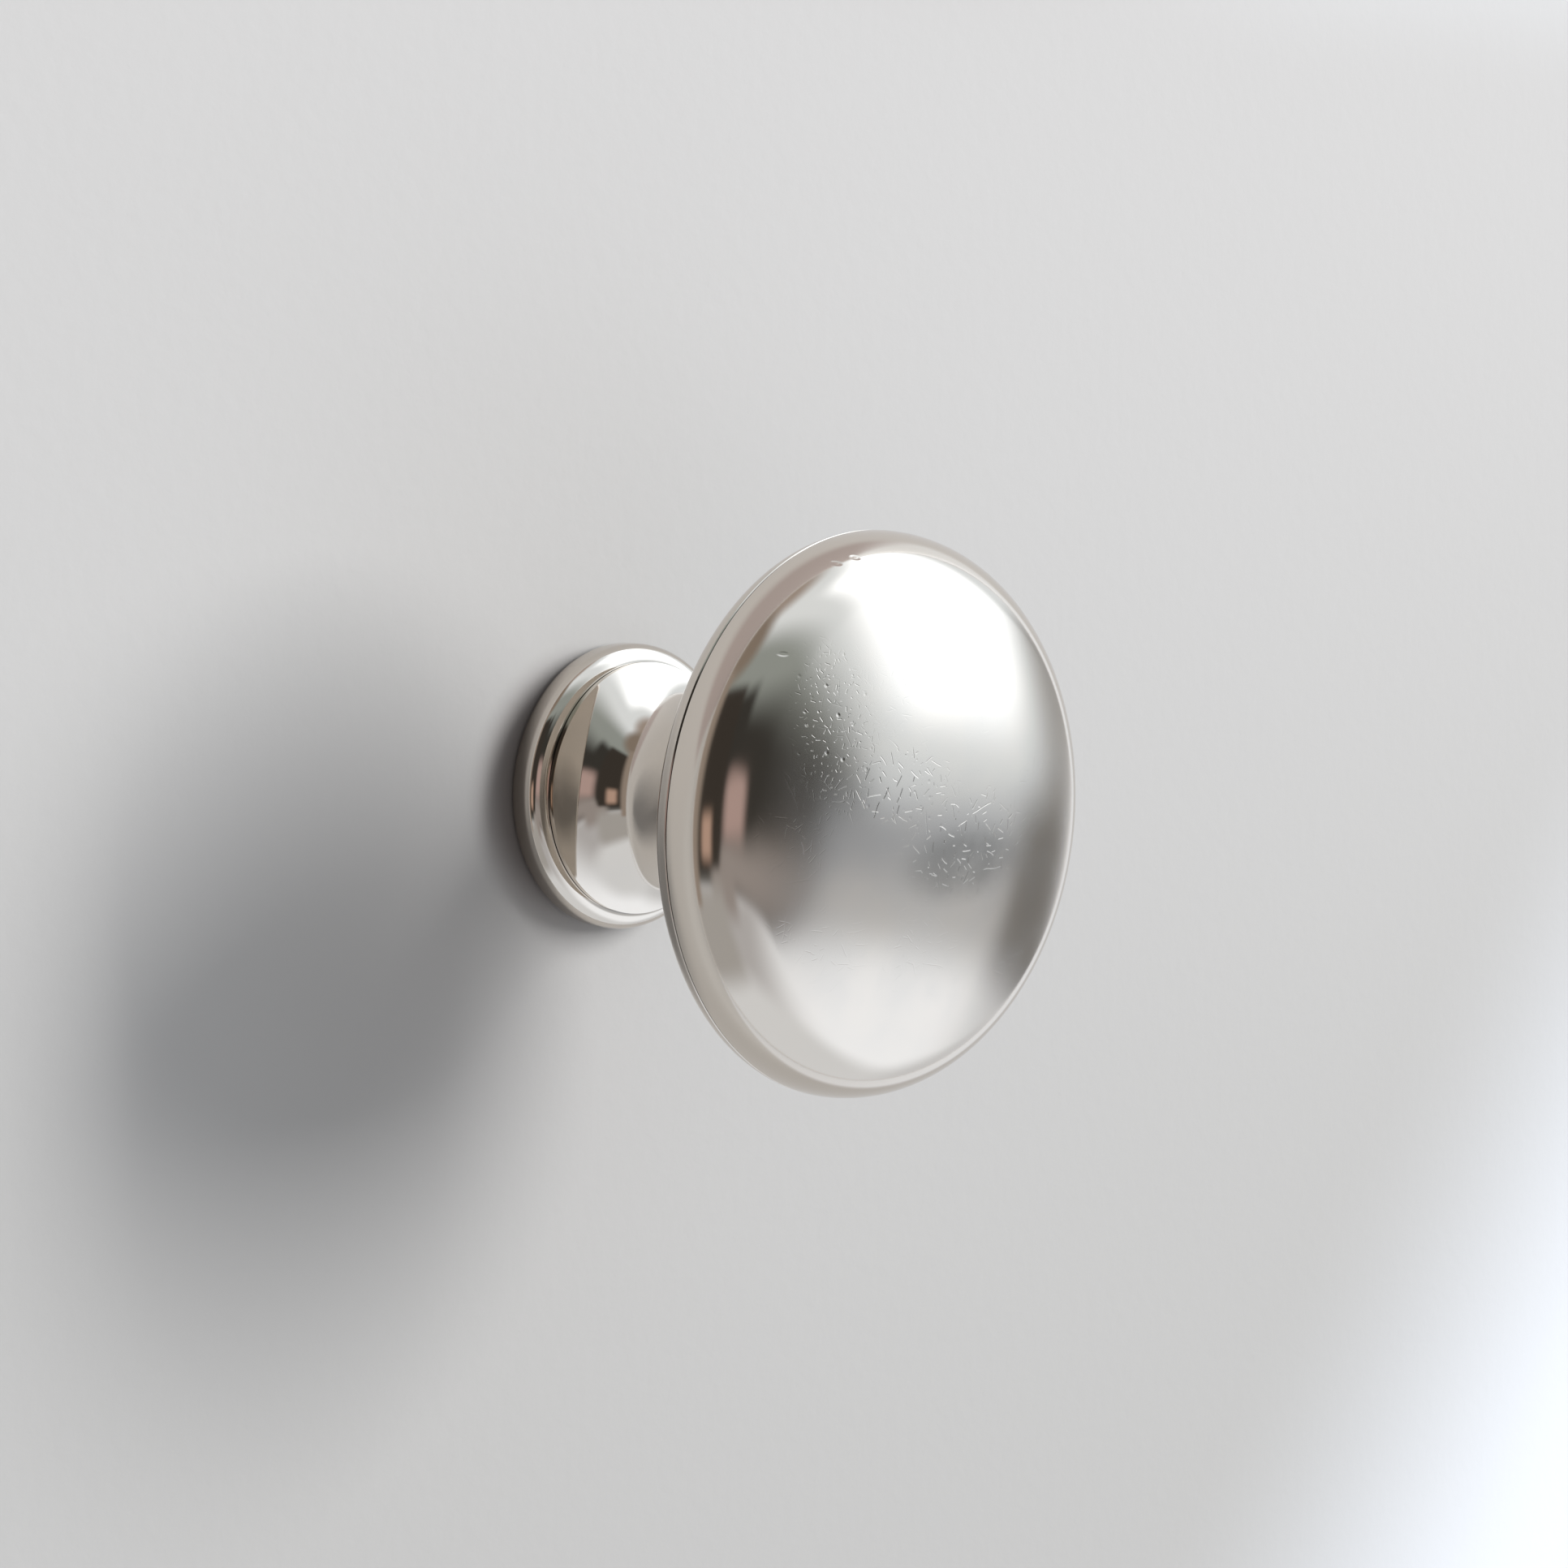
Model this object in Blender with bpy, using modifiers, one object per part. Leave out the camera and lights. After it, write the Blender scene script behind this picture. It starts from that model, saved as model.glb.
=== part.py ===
"""A fixed cupboard-door knob: a hollow two-shell head on a turned neck, a round foot plate, and the
machine screw with its washers that clamps the knob to the door from behind.

Every piece is turned about one axis, which leaves the door face along -Y. Profiles are written as
(radius, height) pairs, and height is measured along that axis, away from the door.
"""

import math

import bpy

# Head
HEAD_DIAMETER = 0.0320
RIM_HEIGHT = 0.0204
FACE_EDGE_RADIUS = 0.0045
FACE_CROWN_RADIUS = 0.0380
FACE_WALL = 0.0009
RIM_BACK_RADIUS = 0.0016
BACK_RISE = 0.0020
CUP_WALL = 0.0010
CUP_LIP_HEIGHT = 0.0010
CUP_LIP_WALL = 0.0008
SEAM_EDGE_ROUND = 0.00005

# Neck
NECK_FOOT_DIAMETER = 0.0150
NECK_FOOT_EDGE = 0.0003
NECK_FOOT_TILT = math.radians(20)
NECK_WAIST_DIAMETER = 0.0080
NECK_TOP_DIAMETER = 0.0140
NECK_TOP_EDGE = 0.0004
NECK_SEAT_MARGIN = 0.0010
SPIGOT_DIAMETER = 0.0110
SPIGOT_DEPTH = 0.0010
TENON_DIAMETER = 0.0072
PEEN_DIAMETER = 0.0094
PEEN_HEIGHT = 0.0011
PEEN_ROUND = 0.0006

# Washer that the neck's end is peened over
RIVET_WASHER_DIAMETER = 0.0124
RIVET_WASHER_THICKNESS = 0.0012

# Foot plate
ROSE_DIAMETER = 0.0171
ROSE_HEIGHT = 0.0023
ROSE_TOP_ROUND = 0.00105
ROSE_BASE_ROUND = 0.0003
ROSE_RELIEF_DIAMETER = 0.0130
ROSE_RELIEF_DEPTH = 0.0003
SCREW_HOLE_DIAMETER = 0.0045

# Threaded bush
BUSH_DIAMETER = 0.0060
BUSH_LENGTH = 0.0105
BUSH_MOUTH_CHAMFER = 0.0003

# Fixing screw and washers, with the door that they clamp
THREAD_DIAMETER = 0.0040
THREAD_DEPTH = 0.00043
THREAD_PITCH = 0.0007
SCREW_LENGTH = 0.0300
SCREW_TIP_CHAMFER = 0.0005
SCREW_TIP_ROOM = 0.0010
SCREW_HEAD_DIAMETER = 0.0080
SCREW_HEAD_HEIGHT = 0.0031
SCREW_HEAD_SIDE = 0.0006
SCREW_HEAD_TOP_DIAMETER = 0.0048
RECESS_LENGTH = 0.0042
RECESS_WIDTH = 0.0011
RECESS_DEPTH = 0.0020
RECESS_TIP_SHARE = 0.45
FLAT_WASHER_DIAMETER = 0.0090
FLAT_WASHER_HOLE = 0.0043
FLAT_WASHER_THICKNESS = 0.0008
FLAT_WASHER_CHAMFER = 0.00015
SPRING_WASHER_DIAMETER = 0.0076
SPRING_WASHER_HOLE = 0.0043
SPRING_WASHER_THICKNESS = 0.0009
SPRING_WASHER_SPLIT = 0.0005
SPRING_WASHER_SPLIT_TILT = math.radians(25)
DOOR_THICKNESS = 0.0180

# Clearances
SEAT_GAP = 0.00005
SEAM_GAP = 0.00006
SPIGOT_GAP = 0.00010
BUSH_GAP = 0.00005
TENON_GAP = 0.00010
THREAD_GAP = 0.00005
CUTTER_OVERLAP = 0.0005

# Facets, and how far a chord may lie from its arc on a surface that shows and on one that doesn't
CHORD_ERROR = 0.000012
HIDDEN_CHORD_ERROR = 0.000030
MIN_ARC_STEPS = 3
LARGE_SEGMENTS = 52
SMALL_SEGMENTS = 36
THREAD_SEGMENTS = 16
MERGE_DISTANCE = 0.000002
SHARP_ANGLE = math.radians(32)

# Heights of the seats along the axis, from the door face
NECK_FOOT = ROSE_HEIGHT + SEAT_GAP
CUP_SEAT = RIM_HEIGHT - RIM_BACK_RADIUS - BACK_RISE
RIVET_WASHER_SEAT = CUP_SEAT + CUP_WALL + SEAT_GAP
PEEN_SEAT = RIVET_WASHER_SEAT + RIVET_WASHER_THICKNESS + SEAT_GAP
SPIGOT_BASE = NECK_FOOT - SPIGOT_DEPTH
FLAT_WASHER_BACK = -DOOR_THICKNESS - FLAT_WASHER_THICKNESS
SPRING_WASHER_BACK = FLAT_WASHER_BACK - SEAT_GAP - SPRING_WASHER_THICKNESS
SCREW_SEAT = SPRING_WASHER_BACK - SEAT_GAP
SCREW_TIP = SCREW_SEAT + SCREW_LENGTH

# Colour, roughness and metallic value of each finish
NICKEL_WORN = ("nickel_worn", (0.62, 0.60, 0.57), 0.24, 1.0)
NICKEL_POLISHED = ("nickel_polished", (0.66, 0.61, 0.56), 0.08, 1.0)
BRASS = ("brass", (0.71, 0.52, 0.24), 0.30, 1.0)
ZINC_STEEL = ("zinc_steel", (0.58, 0.60, 0.63), 0.32, 1.0)


def clear_scene():
    for obj in list(bpy.data.objects):
        bpy.data.objects.remove(obj, do_unlink=True)


def new_collection(name):
    collection = bpy.data.collections.new(name)
    bpy.context.scene.collection.children.link(collection)
    return collection


def new_material(name, colour, roughness, metallic):
    material = bpy.data.materials.new(name)
    material.use_nodes = True
    shader = material.node_tree.nodes["Principled BSDF"]
    shader.inputs["Base Color"].default_value = (*colour, 1.0)
    shader.inputs["Roughness"].default_value = roughness
    shader.inputs["Metallic"].default_value = metallic
    return material


def new_empty(name, parent=None, height=0.0):
    empty = bpy.data.objects.new(name, None)
    empty.empty_display_size = HEAD_DIAMETER / 4
    empty.parent = parent
    empty.location.z = height
    parts.objects.link(empty)
    return empty


def arc(centre_radius, centre_height, radius, start, end, error=CHORD_ERROR):
    """Points on an arc. Its angles, in degrees, run from 0 along the axis to 90 straight outwards."""
    step_angle = 2 * math.acos(1 - error / radius)
    steps = max(MIN_ARC_STEPS, math.ceil(math.radians(abs(end - start)) / step_angle))
    points = []
    for step in range(steps + 1):
        angle = math.radians(start + (end - start) * step / steps)
        points.append(
            (
                centre_radius + radius * math.sin(angle),
                centre_height + radius * math.cos(angle),
            )
        )
    return points


def seam_angle(radius):
    """How far before or after the widest circle, in degrees, an edge of that radius gives way to the seam."""
    return math.degrees(math.asin((SEAM_GAP / 2 + SEAM_EDGE_ROUND) / radius))


def turned(name, profile, finish, parent, height=0.0, ring=False, segments=SMALL_SEGMENTS):
    """A piece turned from a profile that runs down its outer side. A ring's profile is a closed loop."""
    last = len(profile)
    edges = [(i, (i + 1) % last) for i in range(last if ring else last - 1)]
    mesh = bpy.data.meshes.new(name)
    mesh.from_pydata([(r, 0.0, h) for r, h in profile], edges, [])
    mesh.materials.append(finish)
    obj = bpy.data.objects.new(name, mesh)
    screw = obj.modifiers.new("Turn", "SCREW")
    screw.axis = "Z"
    screw.angle = math.tau
    screw.steps = segments
    screw.render_steps = segments
    screw.use_merge_vertices = True
    screw.merge_threshold = MERGE_DISTANCE
    obj.parent = parent
    obj.location.z = height
    parts.objects.link(obj)
    return obj


def combine(obj, tool, parent, operation="DIFFERENCE"):
    """Takes a tool's shape out of a piece, or adds it, and puts the tool away with the other helpers."""
    tool.parent = parent
    tool.hide_render = True
    tool.display_type = "WIRE"
    for collection in list(tool.users_collection):
        collection.objects.unlink(tool)
    tools.objects.link(tool)
    boolean = obj.modifiers.new(tool.name, "BOOLEAN")
    boolean.operation = operation
    boolean.solver = "EXACT"
    boolean.object = tool


def box_cutter(name, length, width, depth):
    """A box centred on its own origin, with its size in its mesh."""
    bpy.ops.mesh.primitive_cube_add(size=1.0)
    box = bpy.context.object
    box.name = name
    for vertex in box.data.vertices:
        vertex.co.x *= length
        vertex.co.y *= width
        vertex.co.z *= depth
    return box


def shade(collection):
    """Applies each piece's modifiers, then shades it smooth with its hard edges kept sharp."""
    bpy.context.view_layer.update()
    graph = bpy.context.evaluated_depsgraph_get()
    finished = {
        obj: bpy.data.meshes.new_from_object(obj.evaluated_get(graph))
        for obj in collection.objects
        if obj.type == "MESH"
    }
    for obj, mesh in finished.items():
        obj.modifiers.clear()
        obj.data = mesh
        mesh.name = obj.name
        mesh.shade_smooth()
        mesh.set_sharp_from_angle(angle=SHARP_ANGLE)


def make_face_shell():
    """The domed front: a wide crown that runs smoothly into a rolled edge, open at the back."""
    radius = HEAD_DIAMETER / 2
    edge_centre = radius - FACE_EDGE_RADIUS
    crown_to_edge = FACE_CROWN_RADIUS - FACE_EDGE_RADIUS
    crown_centre = -math.sqrt(crown_to_edge**2 - edge_centre**2)
    meet = math.degrees(math.asin(edge_centre / crown_to_edge))
    mouth = SEAM_GAP / 2
    edge_end = 90 - seam_angle(FACE_EDGE_RADIUS)
    edge_inside = FACE_EDGE_RADIUS - FACE_WALL
    crown_inside = FACE_CROWN_RADIUS - FACE_WALL
    outside = arc(0, crown_centre, FACE_CROWN_RADIUS, 0, meet)
    outside += arc(edge_centre, 0, FACE_EDGE_RADIUS, meet, edge_end)[1:]
    outside += [(radius - SEAM_EDGE_ROUND, mouth)]
    inside = [(radius - FACE_WALL, mouth)]
    inside += arc(edge_centre, 0, edge_inside, 90, meet, HIDDEN_CHORD_ERROR)[1:]
    inside += arc(0, crown_centre, crown_inside, meet, 0, HIDDEN_CHORD_ERROR)[1:]
    return turned(
        "face_shell", outside + inside, worn_nickel, knob_axis, RIM_HEIGHT, segments=LARGE_SEGMENTS
    )


def make_back_cup():
    """The back of the head: a dished cup with a rounded edge, and a lip that locates the face shell."""
    radius = HEAD_DIAMETER / 2
    mouth = RIM_HEIGHT - CUP_SEAT - SEAM_GAP / 2
    rim = RIM_HEIGHT - CUP_SEAT
    edge_centre = radius - RIM_BACK_RADIUS
    edge_start = 90 + seam_angle(RIM_BACK_RADIUS)
    seat_radius = NECK_TOP_DIAMETER / 2 + NECK_SEAT_MARGIN
    hole = TENON_DIAMETER / 2 + TENON_GAP
    face_inside = FACE_EDGE_RADIUS - FACE_WALL
    lip = radius - FACE_EDGE_RADIUS + math.sqrt(face_inside**2 - CUP_LIP_HEIGHT**2) - SPIGOT_GAP
    lip_inside = lip - CUP_LIP_WALL
    profile = [
        (lip_inside, rim + CUP_LIP_HEIGHT),
        (lip, rim + CUP_LIP_HEIGHT),
        (lip, mouth),
        (radius - SEAM_EDGE_ROUND, mouth),
    ]
    profile += arc(edge_centre, BACK_RISE + RIM_BACK_RADIUS, RIM_BACK_RADIUS, edge_start, 180)
    profile += [
        (seat_radius, 0),
        (hole, 0),
        (hole, CUP_WALL),
        (seat_radius, CUP_WALL),
        (lip_inside, BACK_RISE + CUP_WALL),
    ]
    return turned(
        "back_cup",
        profile,
        polished_nickel,
        knob_axis,
        CUP_SEAT,
        ring=True,
        segments=LARGE_SEGMENTS,
    )


def make_neck():
    """The neck: a spigot and a foot edge, a cove up to the waist, a cove out to the head, and the
    tenon that is peened over inside the head. The foot's cove stops short of lying flat on the foot
    plate. The bush goes up a blind bore from below."""
    foot = NECK_FOOT_DIAMETER / 2
    waist = NECK_WAIST_DIAMETER / 2
    top = NECK_TOP_DIAMETER / 2
    tenon = TENON_DIAMETER / 2
    peen = PEEN_DIAMETER / 2
    spigot = SPIGOT_DIAMETER / 2
    bore = BUSH_DIAMETER / 2 + BUSH_GAP
    shoulder = CUP_SEAT - SEAT_GAP - NECK_FOOT
    peen_base = PEEN_SEAT - NECK_FOOT
    bush_top = BUSH_LENGTH + SEAT_GAP - SPIGOT_DEPTH
    bore_top = max(bush_top, SCREW_TIP - NECK_FOOT + SCREW_TIP_ROOM)
    foot_cove = (foot - waist) / (1 - math.sin(NECK_FOOT_TILT))
    foot_cove_centre = NECK_FOOT_EDGE + foot_cove * math.cos(NECK_FOOT_TILT)
    foot_cove_end = 180 + math.degrees(NECK_FOOT_TILT)
    top_cove = top - waist
    peen_top = peen_base + PEEN_HEIGHT
    profile = [(0, peen_top)]
    profile += arc(
        peen - PEEN_ROUND, peen_top - PEEN_ROUND, PEEN_ROUND, 0, 90, HIDDEN_CHORD_ERROR
    )
    profile += [
        (peen, peen_base),
        (tenon, peen_base),
        (tenon, shoulder),
        (top, shoulder),
    ]
    profile += arc(top, shoulder - NECK_TOP_EDGE - top_cove, top_cove, 360, 270)
    profile += arc(waist + foot_cove, foot_cove_centre, foot_cove, 270, foot_cove_end)
    profile += [
        (foot, 0),
        (spigot, 0),
        (spigot, -SPIGOT_DEPTH),
        (bore, -SPIGOT_DEPTH),
        (bore, bore_top),
        (0, bore_top),
    ]
    return turned(
        "neck", profile, polished_nickel, knob_axis, NECK_FOOT, segments=LARGE_SEGMENTS
    )


def make_rivet_washer():
    inside = TENON_DIAMETER / 2 + TENON_GAP
    outside = RIVET_WASHER_DIAMETER / 2
    profile = [
        (inside, RIVET_WASHER_THICKNESS),
        (outside, RIVET_WASHER_THICKNESS),
        (outside, 0),
        (inside, 0),
    ]
    return turned("rivet_washer", profile, zinc_steel, knob_axis, RIVET_WASHER_SEAT, ring=True)


def make_base_rose():
    """The foot plate: a quarter-round edge, a counterbore for the neck's spigot, and a relieved base."""
    radius = ROSE_DIAMETER / 2
    counterbore = SPIGOT_DIAMETER / 2 + SPIGOT_GAP
    counterbore_floor = SPIGOT_BASE - SEAT_GAP
    relief = ROSE_RELIEF_DIAMETER / 2
    hole = SCREW_HOLE_DIAMETER / 2
    profile = [(counterbore, ROSE_HEIGHT)]
    profile += arc(radius - ROSE_TOP_ROUND, ROSE_HEIGHT - ROSE_TOP_ROUND, ROSE_TOP_ROUND, 0, 90)
    profile += arc(radius - ROSE_BASE_ROUND, ROSE_BASE_ROUND, ROSE_BASE_ROUND, 90, 180)
    profile += [
        (relief, 0),
        (relief, ROSE_RELIEF_DEPTH),
        (hole, ROSE_RELIEF_DEPTH),
        (hole, counterbore_floor),
        (counterbore, counterbore_floor),
    ]
    return turned(
        "base_rose", profile, polished_nickel, knob_axis, ring=True, segments=LARGE_SEGMENTS
    )


def make_threaded_bush():
    outside = BUSH_DIAMETER / 2
    bore = THREAD_DIAMETER / 2 + THREAD_GAP
    profile = [
        (bore, BUSH_LENGTH),
        (outside, BUSH_LENGTH),
        (outside, 0),
        (bore + BUSH_MOUTH_CHAMFER, 0),
        (bore, BUSH_MOUTH_CHAMFER),
    ]
    return turned("threaded_bush", profile, brass, knob_axis, SPIGOT_BASE, ring=True)


def make_threaded_shank():
    """A right-hand thread with a sharp crest, as one closed rod from inside the screw's head to its tip.
    The ridge grows from the rod over its first turn and sinks back over its last, and about a pitch of
    the rod stays plain at each end."""
    crest = THREAD_DIAMETER / 2
    root = crest - THREAD_DEPTH
    turns = math.floor((SCREW_LENGTH - SCREW_TIP_CHAMFER) / THREAD_PITCH) - 2
    steps = turns * THREAD_SEGMENTS
    points = []

    def add(radius, step, height):
        angle = math.tau * step / THREAD_SEGMENTS
        points.append((radius * math.cos(angle), radius * math.sin(angle), height))
        return len(points) - 1

    foot = [add(root, i, -CUTTER_OVERLAP) for i in range(THREAD_SEGMENTS)]
    tip = [add(crest - SCREW_TIP_CHAMFER, i, SCREW_LENGTH) for i in range(THREAD_SEGMENTS)]
    valley, ridge = [], []
    for step in range(steps + THREAD_SEGMENTS + 1):
        height = THREAD_PITCH * (1 + step / THREAD_SEGMENTS)
        valley.append(add(root, step, height))
        if step <= steps:
            grown = min(1, (step + 1) / THREAD_SEGMENTS, (steps - step + 1) / THREAD_SEGMENTS)
            ridge.append(add(root + THREAD_DEPTH * grown, step, height + THREAD_PITCH / 2))

    last = THREAD_SEGMENTS - 1
    faces = [foot[::-1], tip]
    for i in range(last):
        faces.append((foot[i], foot[i + 1], valley[i + 1], valley[i]))
        j = steps + i + 1
        faces.append((valley[j], valley[j + 1], tip[(i + 2) % THREAD_SEGMENTS], tip[i + 1]))
    faces.append((foot[last], foot[0], valley[0], valley[last + 1], valley[last]))
    faces.append((valley[steps], valley[steps + 1], tip[1], tip[0], valley[-1]))
    faces.append((valley[0], ridge[0], valley[THREAD_SEGMENTS]))
    faces.append((valley[steps], valley[-1], ridge[-1]))
    for i in range(steps):
        over = i + THREAD_SEGMENTS
        faces.append((valley[i], valley[i + 1], ridge[i + 1], ridge[i]))
        faces.append((ridge[i], ridge[i + 1], valley[over + 1], valley[over]))
    mesh = bpy.data.meshes.new("threaded_shank")
    mesh.from_pydata(points, [], faces)
    mesh.materials.append(zinc_steel)
    return bpy.data.objects.new("threaded_shank", mesh)


def make_fixing_screw():
    """A pan-head machine screw: a turned head on a threaded shank, with a cross recess."""
    head = SCREW_HEAD_DIAMETER / 2
    head_top = SCREW_HEAD_TOP_DIAMETER / 2
    crown_width = head - head_top
    crown_height = SCREW_HEAD_HEIGHT - SCREW_HEAD_SIDE
    profile = [(0, 0), (head, 0)]
    profile += [
        (head_top + crown_width * r, -SCREW_HEAD_SIDE + crown_height * h)
        for r, h in arc(0, 0, 1, 90, 180, HIDDEN_CHORD_ERROR / crown_height)
    ]
    profile += [(0, -SCREW_HEAD_HEIGHT)]
    screw = turned("fixing_screw", profile, zinc_steel, screw_axis)
    combine(screw, make_threaded_shank(), screw_axis, "UNION")
    for name, turn in (("recess_across", 0.0), ("recess_upright", math.pi / 2)):
        wing = box_cutter(name, RECESS_LENGTH, RECESS_WIDTH, RECESS_DEPTH + CUTTER_OVERLAP)
        for vertex in wing.data.vertices:
            if vertex.co.z > 0:
                vertex.co.x *= RECESS_TIP_SHARE
        wing.location.z = -SCREW_HEAD_HEIGHT + (RECESS_DEPTH - CUTTER_OVERLAP) / 2
        wing.rotation_euler.z = turn
        combine(screw, wing, screw_axis)
    return screw


def make_flat_washer():
    inside = FLAT_WASHER_HOLE / 2
    outside = FLAT_WASHER_DIAMETER / 2
    profile = [
        (inside, FLAT_WASHER_THICKNESS),
        (outside, FLAT_WASHER_THICKNESS),
        (outside, FLAT_WASHER_CHAMFER),
        (outside - FLAT_WASHER_CHAMFER, 0),
        (inside, 0),
    ]
    height = FLAT_WASHER_BACK - SCREW_SEAT
    return turned("flat_washer", profile, zinc_steel, washer_axis, height, ring=True)


def make_spring_washer():
    """A spring washer as it lies when it is clamped flat, with its slanting split."""
    inside = SPRING_WASHER_HOLE / 2
    outside = SPRING_WASHER_DIAMETER / 2
    profile = [
        (inside, SPRING_WASHER_THICKNESS),
        (outside, SPRING_WASHER_THICKNESS),
        (outside, 0),
        (inside, 0),
    ]
    height = SPRING_WASHER_BACK - SCREW_SEAT
    washer = turned("spring_washer", profile, zinc_steel, washer_axis, height, ring=True)
    split_depth = SPRING_WASHER_THICKNESS + 2 * CUTTER_OVERLAP
    split = box_cutter("spring_washer_split", outside, SPRING_WASHER_SPLIT, split_depth)
    split.location = (outside / 2 + CUTTER_OVERLAP, 0, height + SPRING_WASHER_THICKNESS / 2)
    split.rotation_euler.x = SPRING_WASHER_SPLIT_TILT
    combine(washer, split, washer_axis)
    return washer


clear_scene()
parts = new_collection("door_knob")
tools = new_collection("tools")
worn_nickel = new_material(*NICKEL_WORN)
polished_nickel = new_material(*NICKEL_POLISHED)
brass = new_material(*BRASS)
zinc_steel = new_material(*ZINC_STEEL)

# The knob's axis points out of the door, and the screw's carriers lie on it, under the screw's head.
knob_axis = new_empty("knob_axis")
knob_axis.rotation_euler.x = math.pi / 2
washer_axis = new_empty("washer_axis", knob_axis, SCREW_SEAT)
screw_axis = new_empty("screw_axis", washer_axis)

make_face_shell()
make_back_cup()
make_neck()
make_rivet_washer()
make_base_rose()
make_threaded_bush()
make_fixing_screw()
make_flat_washer()
make_spring_washer()
shade(parts)
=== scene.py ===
# %% [markdown]
# # A nickel cupboard-door knob
#
# This lesson dresses a small door knob: a domed, hollow head on a coved neck, a round foot plate, and
# the machine screw with two washers that holds it from behind the door. All of it is turned work,
# and most of it is bright nickel, so two things decide how it looks: clean profiles, and a room
# that is worth mirroring.

# %% The measured model
import math

import bpy
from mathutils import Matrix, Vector


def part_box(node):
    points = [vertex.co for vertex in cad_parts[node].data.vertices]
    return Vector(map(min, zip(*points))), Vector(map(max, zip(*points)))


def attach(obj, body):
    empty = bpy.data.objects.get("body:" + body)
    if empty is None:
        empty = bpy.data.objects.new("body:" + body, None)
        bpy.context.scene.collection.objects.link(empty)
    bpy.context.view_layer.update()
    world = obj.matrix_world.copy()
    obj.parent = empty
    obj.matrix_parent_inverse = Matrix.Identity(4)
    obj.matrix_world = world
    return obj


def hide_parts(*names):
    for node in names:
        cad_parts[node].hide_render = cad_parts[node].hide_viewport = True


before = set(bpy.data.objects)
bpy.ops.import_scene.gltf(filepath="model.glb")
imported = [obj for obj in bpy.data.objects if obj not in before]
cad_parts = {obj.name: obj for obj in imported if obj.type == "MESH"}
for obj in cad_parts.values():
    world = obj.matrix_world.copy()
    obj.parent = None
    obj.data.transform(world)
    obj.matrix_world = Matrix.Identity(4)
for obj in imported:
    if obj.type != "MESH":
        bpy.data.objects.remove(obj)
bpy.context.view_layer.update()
scene = bpy.context.scene
scene.view_settings.view_transform = "Standard"

# %% [markdown]
# ## Camera
#
# The picture was taken from the left and a little above, close to the knob. A camera can be placed by
# eye, but on turned work the ellipses of the rim and the foot fix it: their widths, heights and places
# give the angle, the distance and the lens. The foot's centre lies left of the picture's middle, so
# the camera first looks straight at it and is then turned until it falls on its own pixel. Turning the
# camera, and not shifting its lens, keeps every other view centred.

# %% Camera
IMAGE_SIDE = 1932
LENS_MM = 85.0
SENSOR_MM = 36.0
CAMERA_AZIMUTH = -44.144
CAMERA_ELEVATION = 6.659
CAMERA_DISTANCE = 0.22226
FOOT_PIXEL = (756.41, 966.69)


def direction(azimuth, elevation):
    """A unit vector. Azimuth 0 points straight out of the door and 90 to the right, in degrees."""
    a, e = math.radians(azimuth), math.radians(elevation)
    return Vector((math.sin(a) * math.cos(e), -math.cos(a) * math.cos(e), math.sin(e)))


bpy.ops.object.select_all(action="DESELECT")
bpy.ops.object.camera_add()
camera = bpy.context.object
camera.name = "photo_camera"
camera.data.lens = LENS_MM
camera.data.sensor_width = SENSOR_MM
camera.data.clip_start = 0.01
camera.data.clip_end = 10.0
focal_pixels = IMAGE_SIDE * LENS_MM / SENSOR_MM
foot_ray = Vector(
    (
        (FOOT_PIXEL[0] - IMAGE_SIDE / 2) / focal_pixels,
        (IMAGE_SIDE / 2 - FOOT_PIXEL[1]) / focal_pixels,
        -1.0,
    )
)
towards_camera = direction(CAMERA_AZIMUTH, CAMERA_ELEVATION)
looking_at_foot = (-towards_camera).to_track_quat("-Z", "Y")
foot_off_centre = Vector((0, 0, -1)).rotation_difference(foot_ray.normalized())
camera.rotation_mode = "QUATERNION"
camera.rotation_quaternion = looking_at_foot @ foot_off_centre.inverted()
camera.location = towards_camera * CAMERA_DISTANCE
scene.camera = camera
print("camera at", [round(c, 4) for c in camera.location])

# %% [markdown]
# ## Nodes in short
#
# Every finish below is a node tree. Adding nodes one line at a time hides what feeds what, so one
# helper adds a node, sets its options and fills its inputs: with a value, or with the socket that
# feeds it. A second one makes a group with named sockets, for what several finishes share.

# %% Node helpers


def node(tree, kind, inputs=None, **options):
    """Adds a shader node. An input is a plain value, or the output socket that feeds it."""
    made = tree.nodes.new("ShaderNode" + kind)
    for name, value in options.items():
        setattr(made, name, value)
    for socket, value in (inputs or {}).items():
        if isinstance(value, bpy.types.NodeSocket):
            tree.links.new(value, made.inputs[socket])
        else:
            made.inputs[socket].default_value = value
    return made


def maths(tree, operation, first, second=0.0, clamp=False):
    made = node(tree, "Math", {0: first, 1: second}, operation=operation, use_clamp=clamp)
    return made.outputs[0]


def ramp(tree, value, start, end, low=0.0, high=1.0):
    """Runs smoothly from low to high as the value goes from start to end."""
    made = node(
        tree,
        "MapRange",
        {"Value": value, "From Min": start, "From Max": end, "To Min": low, "To Max": high},
        interpolation_type="SMOOTHSTEP",
    )
    return made.outputs[0]


def mix_colour(tree, share, first, second):
    return node(tree, "Mix", {0: share, 6: first, 7: second}, data_type="RGBA").outputs[2]


def mix_value(tree, share, first, second):
    return node(tree, "Mix", {0: share, 2: first, 3: second}, data_type="FLOAT").outputs[0]


def dot(tree, first, second):
    return node(tree, "VectorMath", {0: first, 1: second}, operation="DOT_PRODUCT").outputs["Value"]


def length(tree, vector):
    return node(tree, "VectorMath", {0: vector}, operation="LENGTH").outputs["Value"]


def flattened(tree, place):
    """The place seen along the knob's axis: sideways and upright only."""
    return node(tree, "VectorMath", {0: place, 1: (1, 0, 1)}, operation="MULTIPLY").outputs[0]


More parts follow.
